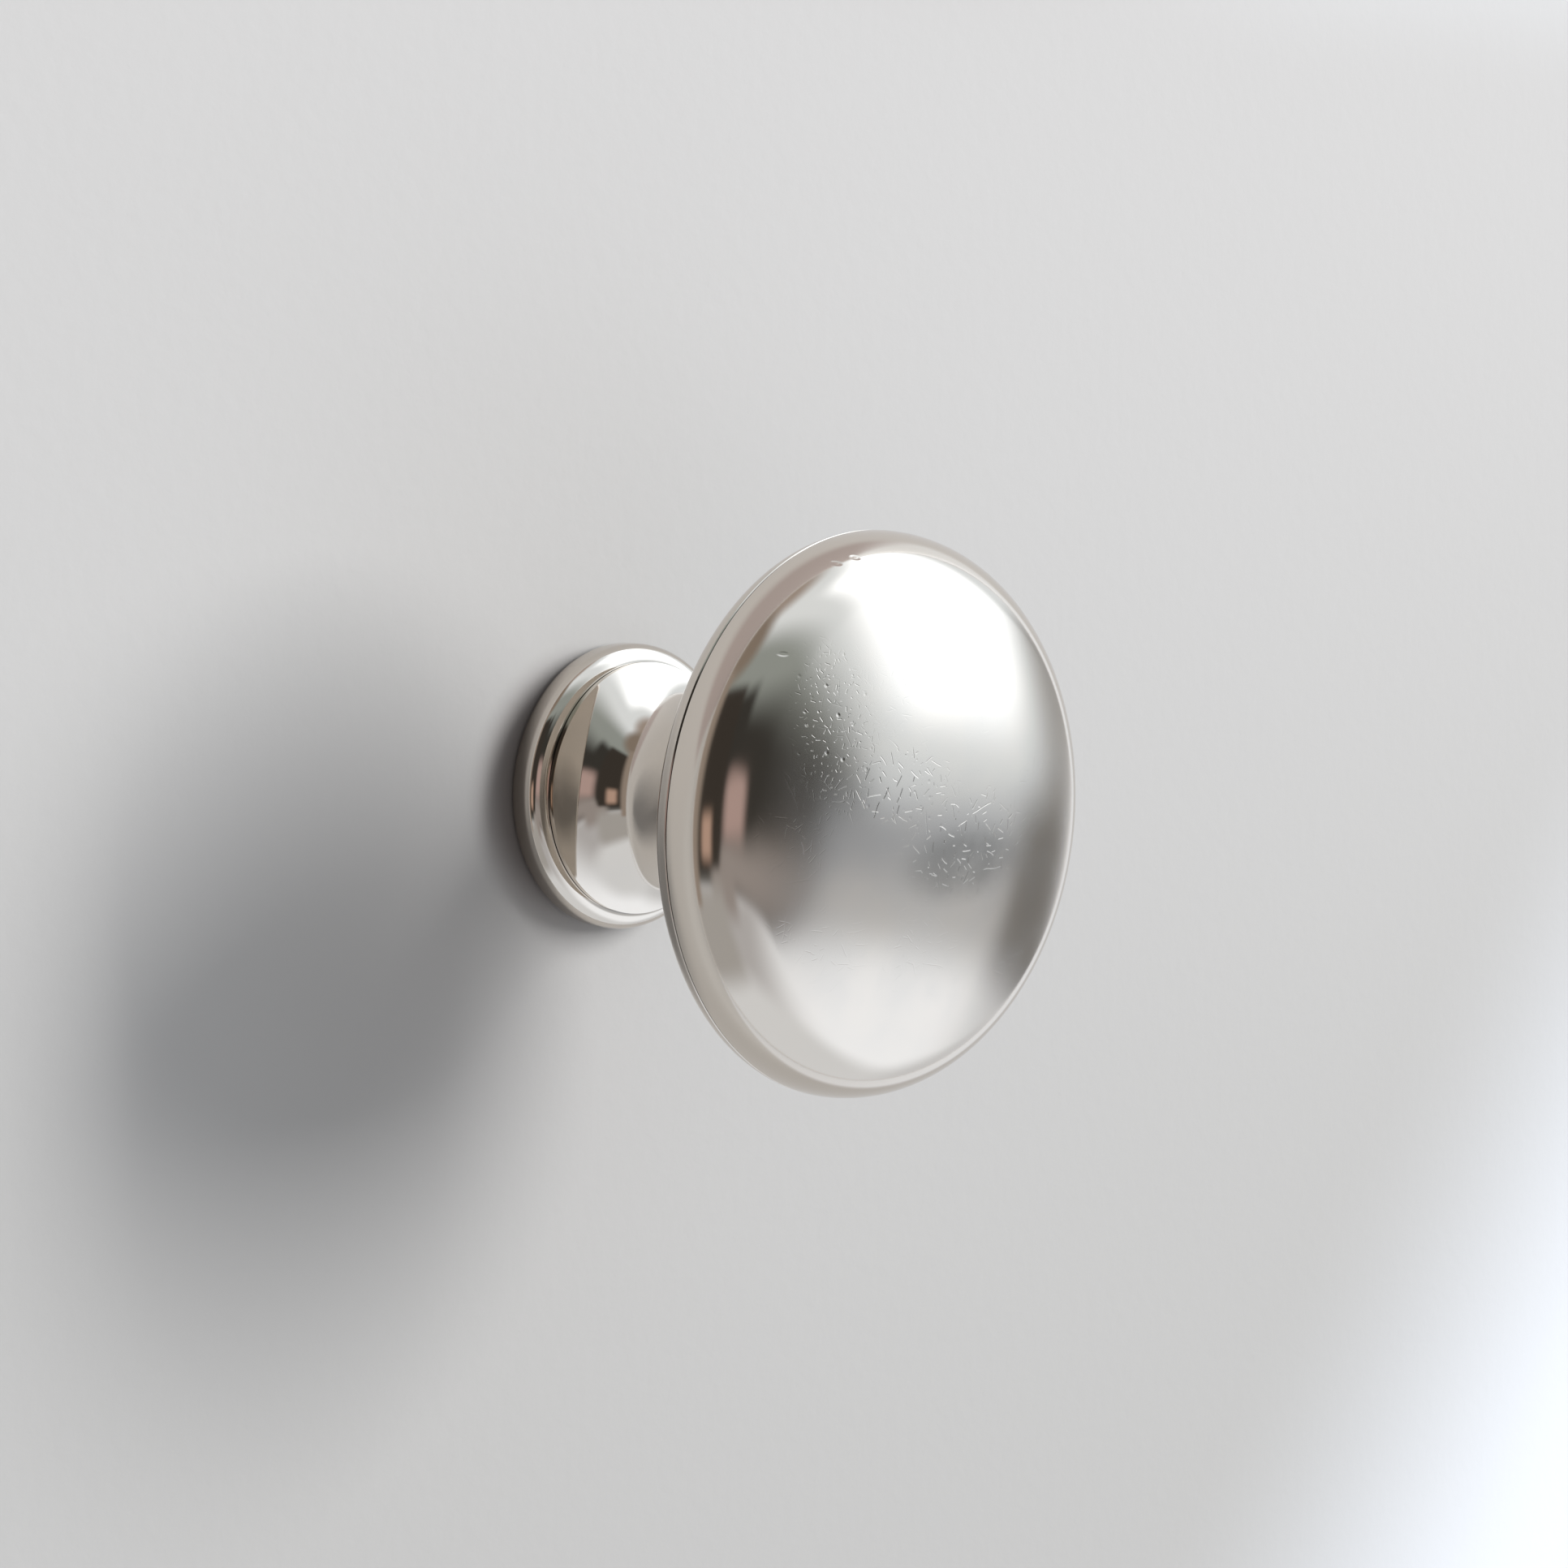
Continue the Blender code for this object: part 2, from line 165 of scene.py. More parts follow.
def new_group(name, inputs, outputs):
    """A node group, with its input and output sockets. Each is given as a name and a kind."""
    tree = bpy.data.node_groups.new(name, "ShaderNodeTree")
    for socket, kind in inputs.items():
        tree.interface.new_socket(socket, in_out="INPUT", socket_type="NodeSocket" + kind)
    for socket, kind in outputs.items():
        tree.interface.new_socket(socket, in_out="OUTPUT", socket_type="NodeSocket" + kind)
    return tree, tree.nodes.new("NodeGroupInput").outputs, tree.nodes.new("NodeGroupOutput").inputs


def use_group(tree, group, inputs):
    made = node(tree, "Group", node_tree=group)
    for socket, value in inputs.items():
        if isinstance(value, bpy.types.NodeSocket):
            tree.links.new(value, made.inputs[socket])
        else:
            made.inputs[socket].default_value = value
    return made


# %% [markdown]
# ## Door face
#
# The knob stands on a plain painted door front, and its shadow falls there, so a backdrop stands at
# the door face. It is one-sided: seen from behind it lets the view through, so that the screw and the
# washers show, and it is open under the foot, which would else mirror it. It lies a hair in front of the
# foot's back, so that no light creeps in under the foot. The paint is lighter towards the top, as
# painted light. Close to the foot, on its left, the paint is darker: a soft disc under the foot is a
# painted contact shadow. Outside the picture, where only the rim mirrors it, the door is painted darker
# and browner high up, as painted shade, and paler towards the right and low down, as painted light.

# %% Door face
WALL_SIDE = 2.4
WALL_PLACE = -0.00005
# Painted light: the paint runs from the low colour to the high one, lighter towards the top.
WALL_LOW = (0.329, 0.322, 0.313, 1.0)
WALL_HIGH = (0.396, 0.387, 0.379, 1.0)
WALL_SPAN = (-0.065, 0.065)
# Painted shade and light outside the picture, where only the rim mirrors the door: darker and browner high
# up, paler towards the right and low down.
WALL_SHADE_ABOVE = (0.295, 0.258, 0.250, 1.0)
WALL_LIGHT_ABOVE_RIGHT = (0.52, 0.53, 0.54, 1.0)
WALL_ABOVE_SPAN = (0.045, 0.072)
WALL_ABOVE_END = (0.0, 0.05)
WALL_LIGHT_ASIDE = (0.398, 0.395, 0.389, 1.0)
WALL_ASIDE_SPAN = (0.04, 0.12)
LOW_LEFT = (-0.7, 0.0, -0.7)
WALL_LIGHT_CORNER = (0.54, 0.555, 0.58, 1.0)
WALL_CORNER_SPAN = (0.08, 0.13)
LOW_RIGHT = (0.75, 0.0, -0.65)
RIGHT_BELOW = (1.0, 0.0, -0.5)
CONTACT = (0.06, 0.045, 0.040, 1.0)
CONTACT_MIDDLE = (-0.0030, 0.0, 0.0)
CONTACT_SPAN = (0.0058, 0.0090)
CONTACT_SHARE = 0.7
HOLE_RADIUS = 0.0072


def new_finish(name):
    """A new material, with its tree, its main shader and its Object coordinates."""
    material = bpy.data.materials.new(name)
    material.use_nodes = True
    tree = material.node_tree
    place = node(tree, "TexCoord").outputs["Object"]
    return material, tree, tree.nodes["Principled BSDF"], place


bpy.ops.object.select_all(action="DESELECT")
bpy.ops.mesh.primitive_plane_add(size=WALL_SIDE, rotation=(math.pi / 2, 0, 0))
wall = bpy.context.object
wall.name = "door_face"
wall.location.y = WALL_PLACE
bpy.ops.object.transform_apply(location=True, rotation=True)
paint, tree, shader, place = new_finish("door_paint")
upright = node(tree, "SeparateXYZ", {0: place}).outputs[2]
# Painted light: the paint grows lighter towards the top.
colour = mix_colour(tree, ramp(tree, upright, *WALL_SPAN), WALL_LOW, WALL_HIGH)
# Painted shade high up on the left, painted light high up on the right and towards the low corners.
rightwards = ramp(tree, dot(tree, place, RIGHT_BELOW), *WALL_ABOVE_END)
above = mix_colour(tree, rightwards, WALL_SHADE_ABOVE, WALL_LIGHT_ABOVE_RIGHT)
colour = mix_colour(tree, ramp(tree, upright, *WALL_ABOVE_SPAN), colour, above)
for towards_corner, span, paler in (
    (LOW_LEFT, WALL_ASIDE_SPAN, WALL_LIGHT_ASIDE),
    (LOW_RIGHT, WALL_CORNER_SPAN, WALL_LIGHT_CORNER),
):
    colour = mix_colour(tree, ramp(tree, dot(tree, place, towards_corner), *span), colour, paler)
from_middle = node(tree, "VectorMath", {0: place, 1: CONTACT_MIDDLE}, operation="DISTANCE")
contact = ramp(tree, from_middle.outputs["Value"], *CONTACT_SPAN, CONTACT_SHARE, 0.0)
tree.links.new(mix_colour(tree, contact, colour, CONTACT), shader.inputs["Base Color"])
shader.inputs["Roughness"].default_value = 0.75
shader.inputs["Specular IOR Level"].default_value = 0.15
brushed = node(tree, "TexNoise", {"Vector": place, "Scale": 900.0, "Detail": 4.0})
bump = node(tree, "Bump", {"Height": brushed.outputs[0], "Strength": 0.10, "Distance": 0.0002})
tree.links.new(bump.outputs[0], shader.inputs["Normal"])
behind = node(tree, "NewGeometry").outputs["Backfacing"]
hole = maths(tree, "LESS_THAN", length(tree, flattened(tree, place)), HOLE_RADIUS)
unseen = maths(tree, "MAXIMUM", behind, hole)
clear = node(tree, "BsdfTransparent").outputs[0]
one_sided = node(tree, "MixShader", {0: unseen, 1: shader.outputs[0], 2: clear})
tree.links.new(one_sided.outputs[0], tree.nodes["Material Output"].inputs["Surface"])
wall.data.materials.append(paint)
print("door face at", WALL_PLACE)

# %% [markdown]
# ## Light
#
# The shadow on the door says where the light comes from: low from the right, tall and narrow, like a
# window across a small room. A soft box stands there. It is far enough away that the door is lit nearly
# evenly, and its size sets how soft the shadow's edge is. A second one, broad and weak, lifts the shadow
# from the left.

# %% Lights
LIGHT_DISTANCE = 3.0


def soft_box(name, azimuth, elevation, width, height, radiance):
    """A rectangular lamp that faces the knob, sized by the angles that it fills and by its brightness."""
    outwards = direction(azimuth, elevation)
    across = 2 * LIGHT_DISTANCE * math.tan(math.radians(width / 2))
    upright = 2 * LIGHT_DISTANCE * math.tan(math.radians(height / 2))
    bpy.ops.object.select_all(action="DESELECT")
    bpy.ops.object.light_add(type="AREA", location=outwards * LIGHT_DISTANCE)
    lamp = bpy.context.object
    lamp.name = name
    lamp.data.shape = "RECTANGLE"
    lamp.data.size = across
    lamp.data.size_y = upright
    lamp.data.energy = radiance * math.pi * across * upright
    lamp.rotation_mode = "QUATERNION"
    lamp.rotation_quaternion = outwards.to_track_quat("Z", "Y")
    lamp.visible_camera = False
    lamp.visible_glossy = False
    print(name, "is", round(across, 2), "by", round(upright, 2), "m,", round(lamp.data.energy), "W")


soft_box("key_soft_box", 48.8, 19.0, 13.5, 34.0, 36.5)
soft_box("fill_soft_box", -38.0, 2.0, 70.0, 60.0, 0.58)

# %% [markdown]
# ## The room in the mirror
#
# The rest of the room shows in the metal: a window's glow round the key, grey above, a dark band that
# slants across, warm low on the left, and a pale floor. Flat cards could stand there, but they would be
# in the way of other views. The world can hold the same patches as brightness by direction: one group
# masks a soft rectangle, and a soft line masks one side of a boundary. Each patch is laid over
# the ones before it. Behind the door the room is pale, for the views of the fixing.

# %% Room patches
DIM = (0.052, 0.050, 0.046, 1.0)
GREY_ABOVE = (0.38, 0.425, 0.42, 1.0)
BROWN_ABOVE = (0.30, 0.25, 0.21, 1.0)
ZENITH = (0.45, 0.385, 0.345, 1.0)
GLOW = (1.00, 1.09, 1.18, 1.0)
WINDOW = (2.2, 2.38, 2.6, 1.0)
FLOOR = (1.28, 1.37, 1.50, 1.0)
FLOOR_LEFT = (0.59, 0.60, 0.63, 1.0)
FLOOR_RIGHT = (0.80, 0.84, 0.90, 1.0)
FLOOR_LOW = (0.90, 0.95, 1.02, 1.0)
WARM_LEFT = (0.56, 0.42, 0.40, 1.0)
BEIGE_LEFT = (0.40, 0.37, 0.365, 1.0)
COOL_FRONT = (0.42, 0.46, 0.52, 1.0)
PALE_FRONT = (0.63, 0.66, 0.70, 1.0)
SHADE_RIGHT = (0.20, 0.195, 0.19, 1.0)
END_RIGHT = (0.44, 0.45, 0.46, 1.0)
DARK_LEFT = (0.055, 0.048, 0.042, 1.0)
GREY_LEFT = (0.50, 0.50, 0.50, 1.0)
DOOR_END = (0.37, 0.315, 0.275, 1.0)
GLINT = (0.60, 0.42, 0.34, 1.0)
PALE_BEHIND = (0.75, 0.75, 0.76, 1.0)

soft_patch, given, result = new_group(
    "soft_patch",
    {
        "Direction": "Vector",
        "Middle": "Vector",
        "Across": "Vector",
        "Upright": "Vector",
        "Half Width": "Float",
        "Half Height": "Float",
        "Softness": "Float",
    },
    {"Mask": "Float"},
)

ahead = maths(soft_patch, "MAXIMUM", dot(soft_patch, given["Direction"], given["Middle"]), 0.02)
masks = []
for axis, half in (("Across", "Half Width"), ("Upright", "Half Height")):
    aside = maths(soft_patch, "DIVIDE", dot(soft_patch, given["Direction"], given[axis]), ahead)
    inner = maths(soft_patch, "SUBTRACT", given[half], given["Softness"])
    outer = maths(soft_patch, "ADD", given[half], given["Softness"])
    masks.append(ramp(soft_patch, maths(soft_patch, "ABSOLUTE", aside), inner, outer, 1.0, 0.0))
inside = maths(soft_patch, "MULTIPLY", masks[0], masks[1])
in_front = maths(soft_patch, "GREATER_THAN", ahead, 0.05)
soft_patch.links.new(maths(soft_patch, "MULTIPLY", inside, in_front), result["Mask"])

world = bpy.data.worlds.new("studio_room")
world.use_nodes = True
scene.world = world
room = world.node_tree
look = node(
    room, "VectorMath", {0: node(room, "TexCoord").outputs["Generated"]}, operation="NORMALIZE"
).outputs[0]


def patch(azimuths, elevations, softness):
    """Mask of a soft rectangle between two azimuths and two elevations, in degrees."""
    middle = direction(sum(azimuths) / 2, sum(elevations) / 2)
    across = Vector((-middle.y, middle.x, 0)).normalized()
    inputs = {
        "Direction": look,
        "Middle": middle,
        "Across": across,
        "Upright": middle.cross(across),
        "Half Width": math.tan(math.radians(azimuths[1] - azimuths[0]) / 2),
        "Half Height": math.tan(math.radians(elevations[1] - elevations[0]) / 2),
        "Softness": math.tan(math.radians(softness)),
    }
    return use_group(room, soft_patch, inputs).outputs["Mask"]


def side(normal, softness, shift=0.0):
    """Mask of one side of a soft line: where the view leans along the normal, past a shift in degrees."""
    edges = [math.sin(math.radians(shift + lean)) for lean in (-softness, softness)]
    return ramp(room, dot(room, look, normal), *edges)


def towards(inside, first, second):
    """Normal of the great circle through two directions, on the side of a third."""
    normal = direction(*first).cross(direction(*second)).normalized()
    return normal if normal.dot(direction(*inside)) > 0 else -normal


def both(first, second):
    return maths(room, "MULTIPLY", first, second)


UP, LEFT, BACK = Vector((0, 0, 1)), Vector((-1, 0, 0)), Vector((0, 1, 0))
below_band = side(towards((0, -60), (-52, 22), (8, -6)), 4.0)
below_glow = side(towards((50, -60), (32, -3.0), (78, -7.5)), 5.0)
floor_part = side(-UP, 4.0, 23.3)
window_sides = both(
    side(towards((60, 30), (33, 62), (37, 4)), 7.0), side(towards((60, 30), (94, 50), (70, 3)), 6.0)
)
window_ends = both(side(towards((60, 30), (38, 9), (70, 2)), 5.0), side(-UP, 8.0, -64.0))
layers = [
    (side(towards((0, 80), (-60, 37), (20, 10.5)), 10.0), GREY_ABOVE),
    (patch((-64, -34), (24, 43), 5.0), DIM),
    (side(towards((60, 20), (25.3, 25), (28.3, 0)), 6.0), GLOW),
    (side(towards((40, 60), (-14, 60), (22, 22)), 9.0), GLOW),
    (side(direction(180, 82), 7.0, 73.5), ZENITH),
    (side(direction(-90, 66), 6.0, 75.0), BROWN_ABOVE),
    (both(window_sides, window_ends), WINDOW),
    (both(below_band, patch((-48, -20), (-8, 15), 7.0)), WARM_LEFT),
    (both(below_glow, patch((18, 98), (-40, 10), 5.0)), COOL_FRONT),
    (patch((20, 70), (-30, -13), 4.0), PALE_FRONT),
    (floor_part, FLOOR),
    (both(floor_part, side(LEFT, 26.0, -4.0)), FLOOR_LEFT),
    (both(floor_part, side(direction(162, 0), 10.0)), FLOOR_RIGHT),
    (side(-UP, 9.0, 52.0), FLOOR_LOW),
    (both(below_band, patch((-50, 14), (-22, -8), 6.0)), BEIGE_LEFT),
    (patch((-64, -34), (-31, -12), 6.0), BEIGE_LEFT),
    (patch((78, 100), (-9, 12), 5.0), END_RIGHT),
    (patch((70, 89), (-23, -6), 4.0), SHADE_RIGHT),
    (patch((-88, -51), (-16, 48), 4.0), DARK_LEFT),
    (patch((-110, -53), (-60, -23), 9.0), GREY_LEFT),
    (patch((-77, -64), (-13, 3), 4.0), GLINT),
    (patch((-100, -82), (-30, 55), 4.0), DOOR_END),
    (side(BACK, 1.2), PALE_BEHIND),
]
brightness = DIM
for mask, colour in layers:
    brightness = mix_colour(room, mask, brightness, colour)
room.links.new(brightness, room.nodes["Background"].inputs["Color"])
print(len(layers), "patches in the room")

# %% [markdown]
# ## Marks of use
#
# Nickel plate on a pull is polished when new. Years of hands and cloths leave the crown softer, with
# stray hairline scratches and small dents, and leave the rim, the neck and the foot bright. A scratch is
# a short straight groove, so a noise doesn't make one. A Voronoi texture gives each cell a centre
# and a random colour. The colour picks an angle, and what lies close to the line through the centre is a
# scratch. Dents use the same cells, by their distance. A soft cloudiness varies the roughness.

# %% Scratch, dent and cloud groups
scratches, given, result = new_group(
    "hairline_scratches",
    {"Place": "Vector", "Cell": "Float", "Half Width": "Float", "Share": "Float"},
    {"Mask": "Float"},
)
per_cell = maths(scratches, "DIVIDE", 1.0, given["Cell"])
scaled = node(
    scratches, "VectorMath", {0: given["Place"], "Scale": per_cell}, operation="SCALE"
).outputs[0]
cells = node(scratches, "TexVoronoi", {"Vector": scaled, "Scale": 1.0})
chance = node(scratches, "SeparateColor", {0: cells.outputs["Color"]}).outputs
angle = maths(scratches, "MULTIPLY", chance[0], math.tau)
cosine = maths(scratches, "COSINE", angle)
sine = maths(scratches, "SINE", angle)
offset = node(
    scratches, "VectorMath", {0: scaled, 1: cells.outputs["Position"]}, operation="SUBTRACT"
).outputs[0]
groove = node(scratches, "CombineXYZ", {0: cosine, 2: sine}).outputs[0]
normal = node(
    scratches, "CombineXYZ", {0: maths(scratches, "MULTIPLY", sine, -1.0), 2: cosine}
).outputs[0]
aside = maths(scratches, "ABSOLUTE", dot(scratches, offset, normal))
along = maths(scratches, "ABSOLUTE", dot(scratches, offset, groove))
width = maths(scratches, "MULTIPLY", given["Half Width"], per_cell)
line = ramp(scratches, aside, 0.0, width, 1.0, 0.0)
reach = maths(scratches, "MULTIPLY_ADD", chance[1], 0.40)
reach.node.inputs[2].default_value = 0.08
ends = ramp(scratches, along, maths(scratches, "MULTIPLY", reach, 0.7), reach, 1.0, 0.0)
there = maths(scratches, "LESS_THAN", chance[2], given["Share"])
scratches.links.new(
    maths(scratches, "MULTIPLY", maths(scratches, "MULTIPLY", line, ends), there), result["Mask"]
)

dents, given, result = new_group(
    "small_dents",
    {"Place": "Vector", "Cell": "Float", "Radius": "Float", "Share": "Float"},
    {"Mask": "Float"},
)
per_cell = maths(dents, "DIVIDE", 1.0, given["Cell"])
scaled = node(dents, "VectorMath", {0: given["Place"], "Scale": per_cell}, operation="SCALE").outputs[0]
cells = node(dents, "TexVoronoi", {"Vector": scaled, "Scale": 1.0})
chance = node(dents, "SeparateColor", {0: cells.outputs["Color"]}).outputs
spread = maths(dents, "MULTIPLY", maths(dents, "MULTIPLY", given["Radius"], per_cell), chance[0])
hollow = ramp(dents, cells.outputs["Distance"], 0.0, spread, 1.0, 0.0)
there = maths(dents, "LESS_THAN", chance[2], given["Share"])
dents.links.new(maths(dents, "MULTIPLY", hollow, there), result["Mask"])

clouds, given, result = new_group(
    "soft_clouds", {"Place": "Vector", "Size": "Float"}, {"Value": "Float"}
)
scale = maths(clouds, "DIVIDE", 1.0, given["Size"])
noise = node(clouds, "TexNoise", {"Vector": given["Place"], "Scale": scale, "Detail": 3.0})
clouds.links.new(ramp(clouds, noise.outputs[0], 0.3, 0.7), result["Value"])
print("groups", [group.name for group in bpy.data.node_groups])

# %% [markdown]
# ## Nickel on the face
#
# The face has one plate all over, but two surfaces: a crown that wear has softened, and a rolled edge
# that is still a mirror. The distance from the knob's axis tells them apart, and roughness follows
# it. Scratches lie flat in the crown, so their cells are cut from the sideways and upright
# coordinates alone. Wear isn't even: hands have pitted one side of the crown and scuffed its middle,
# and a few knocks have nicked the edge. Low in the middle of the crown, a dim, warm, blotchy patch is
# painted into the colour: a painted reflection of something in the room. A soft oval holds each kind
# of mark to its place, and a little noise in the coordinates bends the scratches.

# %% Face finish
NICKEL = (0.66, 0.605, 0.54, 1.0)
NICKEL_DULL = (0.60, 0.565, 0.52, 1.0)
CROWN_ROUGHNESS = 0.165
EDGE_ROUGHNESS = 0.085
CROWN_LIMIT = (0.0112, 0.0150)
PITTED = ((-0.0083, 0.0058), (0.0032, 0.0058))
RUBBED = ((-0.0045, 0.0026), (0.0056, 0.0028))
SCUFFED = ((0.0012, -0.0010), (0.0064, 0.0042))
# Painted reflection: where the dim, warm patch lies on the crown, and its colour.
DIM_REFLECTION_SPOT = ((0.0009, -0.0022), (0.0062, 0.0027))
DIM_REFLECTION = (0.44, 0.41, 0.37, 1.0)
NICK_REACH = (0.00036, 0.00016)
STRAY_SHARE = 0.2
DASH_SHARE = 0.8
PIT_SHARE = 0.4
DULL_SHARE = 0.5
PIT_DEPTH = 0.000013
GROOVE_DEPTH = 0.0000080
NICKS = ((-0.01056, 0.00985), (-0.00525, 0.01443), (-0.00394, 0.01470))


def add_bump(tree, height, depth, before=None):
    inputs = {"Height": height, "Strength": 1.0, "Distance": depth}
    if before is not None:
        inputs["Normal"] = before
    return node(tree, "Bump", inputs).outputs[0]


def spot(tree, place, middle, reach):
    """Mask of a soft oval. Its middle and its reach are given as sideways and upright lengths."""
    offset = node(
        tree, "VectorMath", {0: place, 1: (middle[0], 0, middle[1])}, operation="SUBTRACT"
    ).outputs[0]
    share = node(
        tree, "VectorMath", {0: offset, 1: (reach[0], 1, reach[1])}, operation="DIVIDE"
    ).outputs[0]
    return ramp(tree, length(tree, share), 0.35, 1.0, 1.0, 0.0)


nickel_face, tree, shader, place = new_finish("nickel_face")
flat_place = flattened(tree, place)
crown = ramp(tree, length(tree, flat_place), *CROWN_LIMIT, 1.0, 0.0)
cloud = use_group(tree, clouds, {"Place": place, "Size": 0.006}).outputs[0]
patchy = use_group(tree, clouds, {"Place": flat_place, "Size": 0.0045}).outputs[0]
worn = maths(tree, "MULTIPLY", crown, patchy)
pitted = spot(tree, flat_place, *PITTED)
rubbed = maths(tree, "MAXIMUM", spot(tree, flat_place, *RUBBED), spot(tree, flat_place, *SCUFFED))

sway = node(tree, "TexNoise", {"Vector": flat_place, "Scale": 420.0, "Detail": 1.0}).outputs[1]
sway = node(tree, "VectorMath", {0: sway, "Scale": 0.0009}, operation="SCALE").outputs[0]
bent_place = flattened(
    tree, node(tree, "VectorMath", {0: flat_place, 1: sway}, operation="ADD").outputs[0]
)
crossed_place = node(
    tree, "VectorMath", {0: bent_place, 1: (0.0117, 0, 0.0073)}, operation="ADD"
).outputs[0]
hairlines = 0.0
for spread, cell, half_width, share in (
    (bent_place, 0.0010, 0.000042, 0.8),
    (crossed_place, 0.0008, 0.000038, 0.8),
    (bent_place, 0.0026, 0.000042, 0.5),
):
    lines = use_group(
        tree, scratches, {"Place": spread, "Cell": cell, "Half Width": half_width, "Share": share}
    ).outputs[0]
    hairlines = maths(tree, "MAXIMUM", hairlines, lines)
dashes = use_group(
    tree, scratches, {"Place": flat_place, "Cell": 0.00042, "Half Width": 0.000044, "Share": 0.65}
).outputs[0]
pits = use_group(
    tree, dents, {"Place": flat_place, "Cell": 0.00050, "Radius": 0.00017, "Share": 0.6}
).outputs[0]
strays = maths(tree, "MULTIPLY", worn, STRAY_SHARE)
hairlines = maths(tree, "MULTIPLY", hairlines, maths(tree, "MAXIMUM", rubbed, strays))
dashes = maths(tree, "MULTIPLY", dashes, maths(tree, "MULTIPLY", pitted, DASH_SHARE))
hairlines = maths(tree, "MAXIMUM", hairlines, dashes)
pit_zone = maths(tree, "MAXIMUM", pitted, maths(tree, "MULTIPLY", rubbed, PIT_SHARE))
pits = maths(tree, "MULTIPLY", pits, pit_zone)
for nick in NICKS:
    pits = maths(tree, "MAXIMUM", pits, spot(tree, flat_place, nick, NICK_REACH))

rough = mix_value(tree, crown, EDGE_ROUGHNESS, CROWN_ROUGHNESS)
rough = maths(tree, "ADD", rough, maths(tree, "MULTIPLY", worn, 0.03))
rough = maths(tree, "ADD", rough, maths(tree, "MULTIPLY", cloud, 0.012))
tree.links.new(rough, shader.inputs["Roughness"])
dull = maths(tree, "MULTIPLY", maths(tree, "MAXIMUM", rubbed, worn), DULL_SHARE)
# Painted reflection: a dim, warm patch in the crown's colour, broken up by soft blotches.
reflection_blotches = use_group(tree, clouds, {"Place": flat_place, "Size": 0.0034}).outputs[0]
reflection_blotches = ramp(tree, reflection_blotches, 0.0, 1.0, 0.6, 1.0)
dim_reflection = maths(tree, "MULTIPLY", spot(tree, flat_place, *DIM_REFLECTION_SPOT), reflection_blotches)
colour = mix_colour(tree, dull, NICKEL, NICKEL_DULL)
tree.links.new(mix_colour(tree, dim_reflection, colour, DIM_REFLECTION), shader.inputs["Base Color"])
hollows = add_bump(tree, maths(tree, "MULTIPLY", pits, -1.0), PIT_DEPTH)
grooves = add_bump(tree, maths(tree, "MULTIPLY", hairlines, -1.0), GROOVE_DEPTH, hollows)
tree.links.new(grooves, shader.inputs["Normal"])
shader.inputs["Metallic"].default_value = 1.0

# %% [markdown]
# ## Bright nickel, zinc and brass
#
# The rim's back, the neck and the foot share one bright nickel. It is nearly a mirror, with a breath of
# cloudiness and the odd speck. The fixing set is commercial zinc plate, bluish and mottled, and the bush is
# plain brass with the fine rings that a turning tool leaves.

# %% Body finishes
ZINC = (0.58, 0.60, 0.63, 1.0)
ZINC_DARK = (0.44, 0.46, 0.50, 1.0)
BRASS = (0.71, 0.52, 0.24, 1.0)
BRASS_DARK = (0.52, 0.36, 0.15, 1.0)

nickel_body, tree, shader, place = new_finish("nickel_body")
cloud = use_group(tree, clouds, {"Place": place, "Size": 0.004}).outputs[0]
specks = use_group(
    tree, dents, {"Place": place, "Cell": 0.0019, "Radius": 0.00010, "Share": 0.12}
).outputs[0]
rough = maths(tree, "MULTIPLY_ADD", cloud, 0.02)
rough.node.inputs[2].default_value = 0.045
tree.links.new(rough, shader.inputs["Roughness"])
tree.links.new(
    mix_colour(tree, maths(tree, "MULTIPLY", cloud, 0.25), NICKEL, NICKEL_DULL),
    shader.inputs["Base Color"],
)
tree.links.new(
    add_bump(tree, maths(tree, "MULTIPLY", specks, -1.0), 0.000012), shader.inputs["Normal"]
)
shader.inputs["Metallic"].default_value = 1.0

zinc_plate, tree, shader, place = new_finish("zinc_plate")
mottle = use_group(tree, clouds, {"Place": place, "Size": 0.0008}).outputs[0]
stains = use_group(tree, clouds, {"Place": place, "Size": 0.005}).outputs[0]
tree.links.new(
    mix_colour(tree, maths(tree, "MULTIPLY", stains, 0.6), ZINC, ZINC_DARK),
    shader.inputs["Base Color"],
)
rough = maths(tree, "MULTIPLY_ADD", mottle, 0.14)
rough.node.inputs[2].default_value = 0.24
tree.links.new(rough, shader.inputs["Roughness"])
tree.links.new(add_bump(tree, mottle, 0.000008), shader.inputs["Normal"])
shader.inputs["Metallic"].default_value = 1.0

brass, tree, shader, place = new_finish("turned_brass")
tool_rings = node(
    tree,
    "TexWave",
    {"Vector": place, "Scale": 1400.0, "Distortion": 0.6, "Detail": 1.0},
    wave_type="RINGS",
    rings_direction="Y",
).outputs[1]
stains = use_group(tree, clouds, {"Place": place, "Size": 0.003}).outputs[0]
tree.links.new(mix_colour(tree, stains, BRASS, BRASS_DARK), shader.inputs["Base Color"])
tree.links.new(ramp(tree, tool_rings, 0.0, 1.0, 0.22, 0.36), shader.inputs["Roughness"])
tree.links.new(add_bump(tree, tool_rings, 0.000004), shader.inputs["Normal"])
shader.inputs["Metallic"].default_value = 1.0
print("finishes", [material.name for material in bpy.data.materials])

# %% [markdown]
# ## Turning a piece
#
# Turned work is drawn as a profile on one side of the axis, and spun. The profile is drawn as a turner
# would: a point is put down, pulled out in straight runs by extruding it, and swung round arcs by spinning
# it about each arc's centre. So every round meets its neighbour truly, which polished metal shows up at
# once. The pen below keeps the last place as a radius and a height from the door, and the knob's axis
# leaves the door along -Y.

